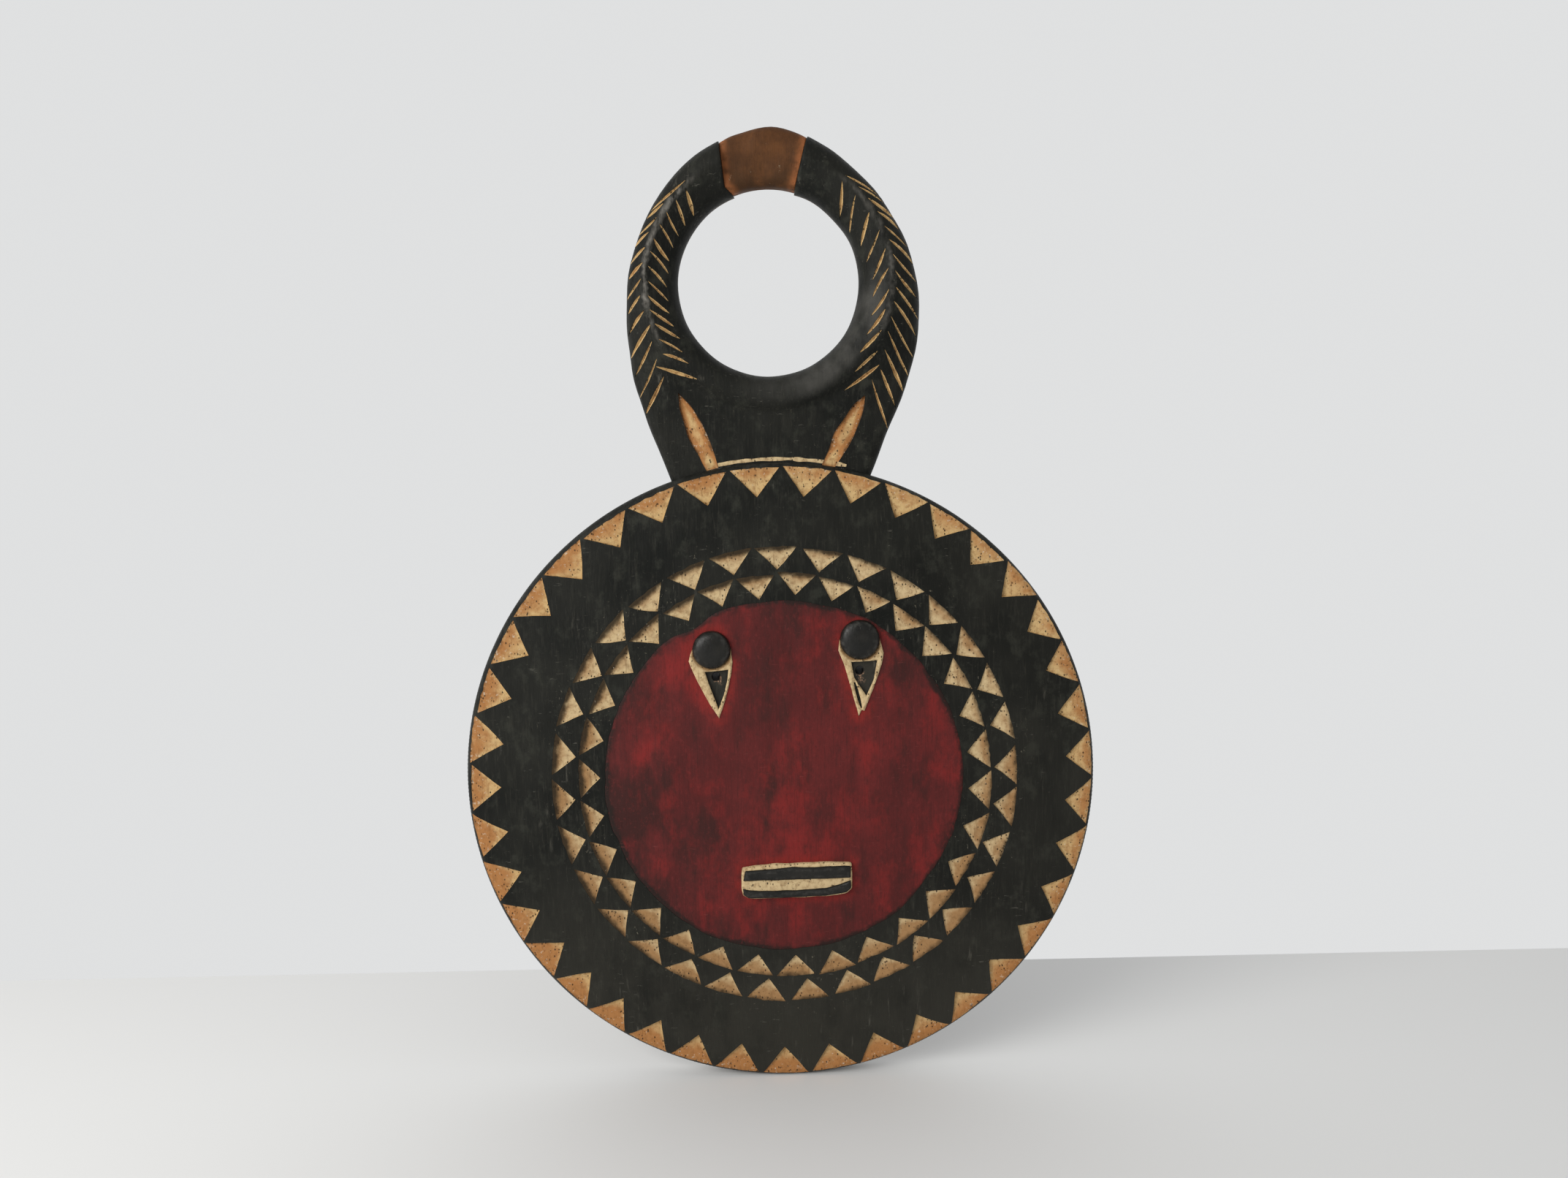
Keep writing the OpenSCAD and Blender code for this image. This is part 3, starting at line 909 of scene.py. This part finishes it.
def collar_cut(loop, seed):
    loop = waver(walk_loop(corners_of(anticlockwise(loop), 0.1), 1.6), 0.3, 5, seed, -0.1)
    return {"outline": loop, "deep": 0.5, "wall": 0.4}


ears = {side: ear_cut(side) for side in ("left", "right")}
collar_loops = [loop for loop in outlines("collar_line") if len(loop) > 3]
collars = [collar_cut(loop, 121 + k) for k, loop in enumerate(collar_loops)]


def crest():
    """Neck and both horns."""
    on_free = distance(crest_line, *crest_free) < 0.01
    loop = waver(crest_line, 0.3 * on_free, 17, 95)
    free, met = split_edges(loop, bridge_loop)
    cuts = strokes["left"] + strokes["right"] + list(ears.values())
    rooms = [cut["outline"] for cut in cuts + collars]
    creases = rooms + [ear["floor"] for ear in ears.values()]
    loose = rings_inside(loop, EASED_ROWS)
    for room in creases:
        loose = loose[~inside(loose, room)]
    loose = clear_of(loose, np.concatenate(creases), 0.6)
    area = filled(loop, 2.3, creases=creases, lines=[c["line"] for c in cuts if "line" in c],
                  points=loose, avoid=rooms)
    flat = area[0]
    edge = distance(flat, *free)
    top = horn_height(flat) - drop(edge, HORN_EASE) - drop(distance(flat, *met), 1.5)
    top = top - dig(flat, cuts + collars, BED_GAP)
    back_area = filled(border(area), 4, points=rings_inside(loop, [0.5, 1.5, 3]))
    back = drop(distance(back_area[0], *free), 3) + 0.15 + 0.15 * ripple(back_area[0], 12, 96)
    r, angle = round_ring(flat)
    x = flat[:, 0] - ring_mid[0]
    # Painted highlight along the left horn's spine, fainter on the right horn.
    spine_highlight = (1 - smooth(np.abs(r - SPINE_R + 0.5), 0.2, 2.1)) * smooth(angle, 30, 50)
    spine_highlight = spine_highlight * (1 - smooth(angle, 100, 125)) * np.where(x < 0, 1, 0.35)
    # Painted highlight on the roll round the ring's foot, towards the right.
    roll = (1 - smooth(np.abs(r - RING_R - 9), 3, 12)) * smooth(x, -30, 25)
    roll = roll * smooth(angle, 80, 105) * (1 - 0.3 * smooth(angle, 150, 180))
    marks = {
        "worn": (0.35 * (1 - smooth(edge, 1, 4)), 0.3),
        "sheen": (spine_highlight, 0),
        "dust": (0.35 * smooth(angle, 120, 150), 0),
        "raw": (0, 1),
        "roll": (roll, 0),
    }
    piece("crest", [solid(area, top, back, marks, back_area)], black_wood)


def set_back(points):
    """Draw the bridge's free edges in, so that the horns' tips stand proud beside it."""
    away = points - ring_mid
    r = np.hypot(*away.T)
    inner = 1.4 * np.clip(1 - (r - RING_R) / 4, 0, 1)
    corner = smooth(-away[:, 0], 10, 21)[:, None]
    outwards = (1 - corner) * away / r[:, None] + corner * [-0.92, 0.72]
    outer = 1.3 * np.exp(-((np.abs(away[:, 0]) - 31) / 7) ** 2) * smooth(r, 82, 90)
    lean = np.where(away[:, 0] > 0, 0.267, -0.1)
    upwards = np.stack([lean, np.ones(len(points))], axis=1)
    return points + outwards * inner[:, None] - upwards * outer[:, None]


def tip_bridge():
    """Brown bridge between the horns' tips."""
    loop = walk_loop(corners_of(bridge_loop, 0.05), 1.8)
    free, met = [[set_back(ends) for ends in stretch] for stretch in split_edges(loop, crest_loop)]
    loop = set_back(loop)
    area = filled(loop, 2.2, points=rings_inside(loop, EASED_ROWS[:-1]))
    flat = area[0]
    edge, step = distance(flat, *free), distance(flat, *met)
    top = NECK_T - 1 + BRIDGE_RISE * (1 - ((apart(flat, ring_mid) - SPINE_R) / 30) ** 2)
    top = top - drop(edge, 6) - drop(step, 0.5)
    top = top + 0.35 * ripple(flat, 13, 131) + 0.12 * ripple(flat, 5, 132)
    low = smooth(ring_mid[1] + SPINE_R - flat[:, 1], -4, 16)
    marks = {"side": (1 - smooth(step, 0.5, 6.5), 0), "edge": (1 - smooth(edge, 0, 4), 0.3),
             "low": (low, 0.3)}
    piece("tip_bridge", [solid(area, top, drop(edge, 3) + 0.15, marks)], brown_pigment)


def stroke_pigment(cut):
    area = sheet(cut["outline"], lines=[cut["line"]])
    side = fade(to_loop(area[0], cut["outline"]), 1.5)
    marks = {"base": 0.3, "tone": cut["tone"], "side": (side, 1)}
    return lining(cut, area, horn_surface, 0.1, marks)


def ear(side):
    """Pigment in an ear's scoop, browner round its edge and its shallow side."""
    cut = ears[side]
    area = filled(cut["outline"], 1.7, 0.45, creases=[cut["floor"]])
    flat = area[0]
    low = flat[:, 1].min()
    foot = 1 - smooth(flat[:, 1], low, low + 14)
    rim = fade(to_loop(flat, cut["outline"]), 4.5)
    brown = 0.18 + 1.05 * rim + 0.3 * (1 - share(flat, *cut["slope"])) - 0.9 * foot
    marks = {"base": (np.clip(brown, 0, 1.15), 0), "tone": 0.75}
    part = lining(cut, area, horn_surface, PIGMENT_SUNK, marks)
    piece("ear_" + side, [part], ochre_pigment)


def collar_pigment(cut):
    area = filled(cut["outline"], 1.2, 0.45)
    flat = area[0]
    top = horn_surface(flat) + 0.3 + 0.15 * ripple(flat, 3, 125)
    marks = {"tone": 0.2, "side": (fade(to_loop(flat, cut["outline"]), 1.5), 1)}
    return solid(area, top, top - 1.0, marks)


# ---- materials

class Look:
    """One procedural material. colour and normal are what its coats have come to so far."""

    def __init__(self, name, colour, roughness, specular):
        self.material = bpy.data.materials.new(name)
        self.material.use_nodes = True
        self.tree = self.material.node_tree
        self.shader = self.tree.nodes["Principled BSDF"]
        self.shader.inputs["Roughness"].default_value = roughness
        self.shader.inputs["Specular IOR Level"].default_value = specular
        self.place = self.add("ShaderNodeTexCoord").outputs["Object"]
        self.colour, self.normal = colour, None

    def add(self, kind, inputs=None, **settings):
        node = self.tree.nodes.new(kind)
        for key, value in settings.items():
            setattr(node, key, value)
        for key, value in (inputs or {}).items():
            self.plug(node.inputs[key], value)
        return node

    def plug(self, socket, value):
        if isinstance(value, bpy.types.NodeSocket):
            self.tree.links.new(value, socket)
        elif socket.type == "RGBA":
            socket.default_value = (*value, 1)
        else:
            socket.default_value = value

    def spread(self, size, stretch, shift=0):
        """Places in the frame, scaled so that size metres are 1, or upwards stretch times as
        many. Three numbers stretch it across, back and up."""
        if not isinstance(stretch, tuple):
            stretch = (1, 1, stretch)
        scale = [1 / (size * s) for s in stretch]
        inputs = {"Vector": self.place, "Scale": scale,
                  "Location": (shift, shift * 0.7, shift * 0.3)}
        return self.add("ShaderNodeMapping", inputs).outputs[0]

    def noise(self, size, stretch=1, detail=4, rough=0.55, shift=0):
        """Cloudy noise whose patches are about size metres wide, longer where stretched."""
        inputs = {"Vector": self.spread(size, stretch, shift), "Scale": 1,
                  "Detail": detail, "Roughness": rough}
        return self.add("ShaderNodeTexNoise", inputs).outputs["Fac"]

    def cells(self, size, stretch):
        """Distance from the nearest of points scattered about size metres apart."""
        inputs = {"Vector": self.spread(size, stretch), "Scale": 1}
        return self.add("ShaderNodeTexVoronoi", inputs).outputs["Distance"]

    def band(self, value, low, high, amount=1):
        """0 below low, rising smoothly to amount at high. Falls instead where low > high."""
        inputs = {0: value, 1: low, 2: high, 3: 0, 4: amount}
        return self.add("ShaderNodeMapRange", inputs, interpolation_type="SMOOTHSTEP").outputs[0]

    def math(self, kind, *values):
        return self.add("ShaderNodeMath", dict(enumerate(values)), operation=kind).outputs[0]

    def mark(self, name):
        return self.add("ShaderNodeAttribute", attribute_name=name).outputs["Fac"]

    def mix(self, amount, a, b):
        inputs = {0: amount, 6: a, 7: b}
        return self.add("ShaderNodeMix", inputs, data_type="RGBA").outputs[2]

    def lift(self, value, **marks):
        """A value with so much of each mark added to it."""
        for name, amount in marks.items():
            value = self.math("MULTIPLY_ADD", self.mark(name), amount, value)
        return value

    def patches(self, band, *noise, lift=None, **more):
        """band() of noise(), lifted by marks."""
        return self.band(self.lift(self.noise(*noise, **more), **(lift or {})), *band)

    def tint(self, amount, colour):
        self.colour = self.mix(amount, self.colour, colour)

    def coat(self, colour, band, *noise, where=None, **more):
        """Lay a colour on in patches(), and only where a mark or another amount is."""
        amount = self.patches(band, *noise, **more)
        if where is not None:
            where = self.mark(where) if isinstance(where, str) else where
            amount = self.math("MULTIPLY", where, amount)
        self.tint(amount, colour)

    def bump(self, height, depth, strength):
        """Lay a bump over those before it."""
        made = self.add("ShaderNodeBump", {"Height": height, "Distance": depth,
                                           "Strength": strength})
        if self.normal is not None:
            self.plug(made.inputs["Normal"], self.normal)
        self.normal = made.outputs[0]

    def relief(self, depth=0.00022):
        """Fine upright grain with tool marks and open pores, as bumps."""
        self.bump(self.noise(0.009, 2.5, 3, 0.5, 3.1), 0.0008, 0.5)
        self.bump(self.noise(0.0011, UPRIGHT, 6, 0.6), depth, 0.6)
        pores = self.patches((0.34, 0.26), 0.0008, 7, 2, 0.5, 9)
        self.bump(self.math("MULTIPLY", pores, -1), 0.0003, 0.6)

    def finish(self, roughness, *patches, **more):
        """Plug all in, with patches() of more roughness if they are given."""
        if patches:
            roughness = self.math("ADD", self.patches(*patches, **more), roughness)
        self.plug(self.shader.inputs["Base Color"], self.colour)
        self.plug(self.shader.inputs["Roughness"], roughness)
        if self.normal is not None:
            self.plug(self.shader.inputs["Normal"], self.normal)
        return self.material


UPRIGHT = 22


def make_black_wood():
    """Charred black wood: greenish charcoal, upright scuffs, greyer where hands rub it, with
    painted light lower down, painted highlights on the horns and painted shade in the sight holes.
    """
    look = Look("black_wood", (0.0068, 0.0074, 0.0064), 0.5, 0.09)
    look.coat((0.0145, 0.0146, 0.0122), (0.35, 0.68), 0.07, detail=3)
    # Smudges, painted light greying the face lower down and to the right, grey on the eyes' black
    # floors, grain and threads.
    look.coat((0.032, 0.033, 0.026), (0.5, 0.7, 0.6), 0.011, 1.3, 5, 0.68, 26)
    look.coat((0.033, 0.031, 0.025), (0.2, 0.6, 0.9), 0.05, 1.5, 4, 0.6, 20, where="grey_and_lit")
    look.coat((0.036, 0.034, 0.027), (0.52, 0.72, 0.5), 0.0014, 12, 5, 0.7)
    look.coat((0.03, 0.03, 0.0235), (0.52, 0.7, 0.35), 0.0055, 4, 5, 0.65, 15)
    # Scuffs, nicks, scrapes across and dust, each in its own places.
    look.coat((0.085, 0.08, 0.066), (0.57, 0.7, 0.7), 0.0035, 7, 6, 0.7, 5,
              where=look.patches((0.48, 0.66), 0.045, 1.6, 3, 0.5, 8))
    look.coat((0.08, 0.076, 0.064), (0.66, 0.72, 0.6), 0.003, (3, 1, 0.8), 5, 0.7, 21)
    look.coat((0.09, 0.086, 0.072), (0.63, 0.7, 0.6), 0.0012, (7, 1, 1.5), 4, 0.65, 33,
              where=look.patches((0.5, 0.6), 0.03, detail=3, shift=34))
    dusty = look.patches((0.45, 0.62, 0.8), 0.02, 1.6, 2, 0.5, 4)
    look.coat((0.21, 0.19, 0.14), (0.62, 0.74), 0.0016, 2, 4, 0.7, 2,
              where=look.math("MULTIPLY", look.mark("dust"), dusty))
    # Wear on edges, a painted highlight along the horns' spines, and bare wood at the sight holes.
    look.coat((0.06, 0.06, 0.056), (0.38, 0.72, 0.75), 0.006, 2, 5, 0.65, 6, where="worn")
    look.coat((0.235, 0.22, 0.195), (0.32, 0.66), 0.0045, 2.5, 5, 0.65, 16, where="sheen")
    look.coat((0.36, 0.22, 0.14), (0.44, 0.54, 0.9), 0.0016, shift=12, where="chip")
    bare = look.mix(look.patches((0.3, 0.7), 0.01, UPRIGHT, 6, 0.6, 7),
                    (0.06, 0.038, 0.022), (0.135, 0.09, 0.052))
    bare = look.mix(look.patches((0.36, 0.7, 0.6), 0.06, 2, 5, 0.6, 5.5), bare,
                    (0.03, 0.024, 0.018))
    look.tint(look.mark("raw"), bare)
    # Painted highlight on the roll round the ring's foot.
    look.coat((0.088, 0.085, 0.077), (0.25, 0.7, 0.7), 0.022, 1.4, 4, 0.55, 24, where="roll")
    # Painted shade inside the sight holes and on the back round them.
    look.tint(look.mark("deep"), (0.004, 0.0035, 0.003))
    rough = look.math("MULTIPLY_ADD", look.noise(0.006, UPRIGHT, 4, 0.6, 1.5), 0.35, 0.33)
    look.relief()
    return look.finish(look.lift(rough, worn=-0.12, sheen=-0.15))


def make_rubbed_black():
    """Handled black: smoother and glossier, browner where it is worn through."""
    look = Look("rubbed_black", (0.0065, 0.0065, 0.0055), 0.4, 0.26)
    look.coat((0.014, 0.013, 0.0105), (0.35, 0.7), 0.012)
    look.coat((0.055, 0.052, 0.046), (0.42, 0.72, 0.7), 0.004, detail=5, shift=3, where="worn")
    look.coat((0.06, 0.047, 0.032), (0.66, 0.74, 0.6), 0.0035, rough=0.7, shift=8)
    look.relief(0.00012)
    return look.finish(0.21, (0.2, 0.9, 0.5), 0.005, shift=6)


def make_red_pigment():
    """Deep red pigment, darkened in upright smears, brighter round the relief."""
    look = Look("red_pigment", (0.078, 0.0145, 0.014), 0.6, 0.11)
    look.coat((0.117, 0.018, 0.0175), (0.32, 0.7), 0.045, 1.5, 5, 0.6)
    # Dark smears and brighter patches, in the places that are marked for them.
    look.coat((0.036, 0.014, 0.0126), (0.48, 0.78, 0.85), 0.013, 3, 6, 0.65, 4,
              lift={"dull": 0.28})
    look.coat((0.2, 0.019, 0.018), (0.5, 0.8, 0.85), 0.017, 1.7, 5, 0.62, 9,
              lift={"bright": 0.24})
    look.coat((0.215, 0.02, 0.017), (0.36, 0.62, 0.9), 0.015, shift=2, where="relief")
    # Dirt at the field's edge.
    look.coat((0.024, 0.0125, 0.011), (0.48, 0.62, 0.85), 0.014, 1.4, 5, 0.65, 6.5, where="edge")
    look.coat((0.018, 0.0125, 0.0108), (1.22, 1.62, 0.95), 0.007, 1.3, 5, 0.68, 30,
              lift={"edge": 1, "dull": 0.3})
    # Fine mottling, grain, scratches across and flecks.
    fine = look.noise(0.0022, 1.5, 5, 0.7, 28)
    look.tint(look.band(fine, 0.5, 0.72, 0.45), (0.046, 0.0145, 0.013))
    look.tint(look.band(fine, 0.46, 0.3, 0.3), (0.19, 0.03, 0.028))
    look.coat((0.038, 0.0125, 0.0115), (0.48, 0.72, 0.35), 0.0012, UPRIGHT, 5, 0.6, 1)
    look.coat((0.24, 0.06, 0.055), (0.66, 0.72, 0.25), 0.0013, (9, 1, 1), 4, 0.6, 18)
    look.coat((0.32, 0.2, 0.16), (0.735, 0.77, 0.5), 0.0022, 0.7, 5, 0.75, 11)
    look.relief(0.00015)
    return look.finish(0.45, (0.2, 0.8, 0.25), 0.02, detail=5, shift=7)


def pigment(name, pale, deep, burnt, warmth, scorch, by_place, chalk):
    """Chalky pigment in a cut: pale by its tip, deeper to its base, with open pores."""
    look = Look(name, pale, 0.75, 0.12)
    waver = look.noise(0.007, shift=1)
    level = look.math("MULTIPLY_ADD", waver, 0.9, -0.73)
    level = look.lift(level, base=1, tone=0.6, side=-0.35)
    look.tint(look.band(level, 0.2, 0.96, warmth), deep)
    # Dirt and streaks.
    look.coat([c * 0.66 for c in deep], (0.44, 0.68, 0.6), 0.0036, 1, 6, 0.7, 4)
    look.coat([c * 0.5 for c in deep], (0.55, 0.72, 0.45), 0.0022, 6, 4, 0.6, 22)
    # Burnt brown towards the chips' bases, with painted shade on the chips up on the left.
    burnt_and_shaded = look.lift(look.math("MULTIPLY", waver, 0.35), base=1, burn=by_place)
    look.tint(look.band(burnt_and_shaded, *scorch, 0.96), burnt)
    crowd = look.patches((0.49, 0.58), 0.005, detail=3, shift=8, lift={"side": 0.1})
    pores = look.band(look.cells(0.0019, 1.5), 0.31, 0.18, 0.9)
    pores = look.math("MULTIPLY", pores, crowd)
    look.tint(pores, (0.03, 0.02, 0.012))
    look.coat((0.62, 0.55, 0.44), (0.67, 0.73, 0.5), 0.0022, rough=0.7, shift=14,
              lift={"base": chalk})
    look.bump(look.noise(0.0016, 3, 5, 0.6, 2), 0.0002, 0.6)
    look.bump(look.math("MULTIPLY", pores, -1), 0.0004, 0.8)
    return look.finish(0.62, (0.2, 0.8, 0.2), 0.01, shift=3)


def make_brown_pigment():
    """Reddish brown wash over wood, more orange beside the horns, with pale chips."""
    look = Look("brown_pigment", (0.068, 0.0275, 0.01), 0.65, 0.14)
    look.coat((0.116, 0.046, 0.0155), (0.34, 0.66), 0.014, 1.3, 6, 0.68)
    look.coat((0.042, 0.02, 0.008), (0.3, 0.62, 0.75), 0.014, 1.2, 5, 0.6, 12, where="low")
    look.coat((0.045, 0.019, 0.009), (0.5, 0.75, 0.45), 0.0013, UPRIGHT, 5, 0.6, 2)
    look.coat((0.3, 0.105, 0.036), (0.22, 0.6, 0.95), 0.006, shift=5, where="side")
    look.coat((0.46, 0.36, 0.24), (0.65, 0.69, 0.8), 0.0052, (1, 1.3, 0.8), 6, 0.82, 3,
              where=look.math("MULTIPLY_ADD", look.mark("low"), 0.65, 0.35))
    look.relief()
    return look.finish(0.48, (0.2, 0.8, 0.25), 0.01, shift=6)


black_wood = make_black_wood()
rubbed_black = make_rubbed_black()
red_pigment = make_red_pigment()
brown_pigment = make_brown_pigment()
ochre_pigment = pigment("ochre_pigment", (0.57, 0.395, 0.185), (0.375, 0.165, 0.055),
                        (0.055, 0.026, 0.012), 0.97, (1.18, 1.42), 0.08, 0.09)
cream_pigment = pigment("cream_pigment", (0.57, 0.43, 0.24), (0.31, 0.165, 0.066),
                        (0.026, 0.018, 0.01), 0.92, (1.12, 1.4), 0.3, 0)


# ---- building

disc()
red_field()
for side in EYES:
    eye_dome(side)
    eye_rim(side)
mouth_block()
lip("mouth_upper_lip", UPPER_LIP, 141)
lip("mouth_lower_lip", LOWER_LIP, 143)
piece("outer_triangles", [chip_pigment(cut) for cut in outer_chips], ochre_pigment)
piece("middle_triangles", [chip_pigment(cut) for cut in middle_chips], cream_pigment)
piece("inner_triangles", [chip_pigment(cut) for cut in inner_chips], cream_pigment)
crest()
tip_bridge()
for side in ears:
    piece("horn_cuts_" + side, [stroke_pigment(cut) for cut in strokes[side]], ochre_pigment)
    ear(side)
piece("collar_line", [collar_pigment(cut) for cut in collars], cream_pigment)


# ---- stage, light and camera

def stage():
    """Pale table under the mask, which ends a little behind it."""
    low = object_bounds()[0]
    pale = (0.78, 0.78, 0.775)
    look = Look("floor", pale, 0.7, 0.3)
    look.tint(look.noise(0.6, detail=2), [c * 0.985 for c in pale])
    reach, back = 3.0, 0.164
    corners = [(x, y, low[2]) for x, y in ((-reach, -reach), (reach, -reach), (reach, back),
                                           (-reach, back))]
    mesh = bpy.data.meshes.new("floor")
    mesh.from_pydata(corners, [], [(0, 1, 2, 3)])
    mesh.materials.append(look.finish(0.7))
    put("floor", mesh)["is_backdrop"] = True


def window():
    """A tall soft window, up on the left."""
    data = bpy.data.lights.new("window", "AREA")
    data.shape = "RECTANGLE"
    data.size, data.size_y = 1.2, 1.3
    data.energy = 29
    data.color = (1.0, 0.985, 0.955)
    lamp = put("window", data)
    lamp.location = (-1.2, -1.3, 0.8)
    towards = Vector((0, 0, 0.08)) - lamp.location
    lamp.rotation_euler = towards.to_track_quat("-Z", "Y").to_euler()


def room():
    """A pale room that is brightest behind the mask."""
    world = bpy.data.worlds.new("room")
    world.use_nodes = True
    tree = world.node_tree
    sky = tree.nodes["Background"]
    sky.inputs["Color"].default_value = (0.825, 0.832, 0.835, 1)
    place = tree.nodes.new("ShaderNodeTexCoord")
    split = tree.nodes.new("ShaderNodeSeparateXYZ")
    level = tree.nodes.new("ShaderNodeMapRange")
    level.interpolation_type = "SMOOTHSTEP"
    for socket, value in zip((1, 2, 3, 4), (-0.7, 0.45, 0.5, 0.9)):
        level.inputs[socket].default_value = value
    tree.links.new(place.outputs["Generated"], split.inputs[0])
    tree.links.new(split.outputs["Y"], level.inputs[0])
    tree.links.new(level.outputs[0], sky.inputs["Strength"])
    bpy.context.scene.world = world


def camera():
    """Close view from a little above, tipped as a hand holds it."""
    data = bpy.data.cameras.new("camera")
    data.lens = 26.84
    data.sensor_width = 36
    data.sensor_fit = "HORIZONTAL"
    tilt, roll = math.radians(6.5), math.radians(-1.2)
    turned = Matrix.Rotation(math.pi / 2 - tilt, 4, "X") @ Matrix.Rotation(roll, 4, "Z")
    view = put("camera", data)
    view.matrix_world = Matrix.Translation((0.0051, -0.7976, 0.2192)) @ turned
    bpy.context.scene.camera = view


stage()
window()
room()
camera()
bpy.context.scene.view_settings.view_transform = "Standard"
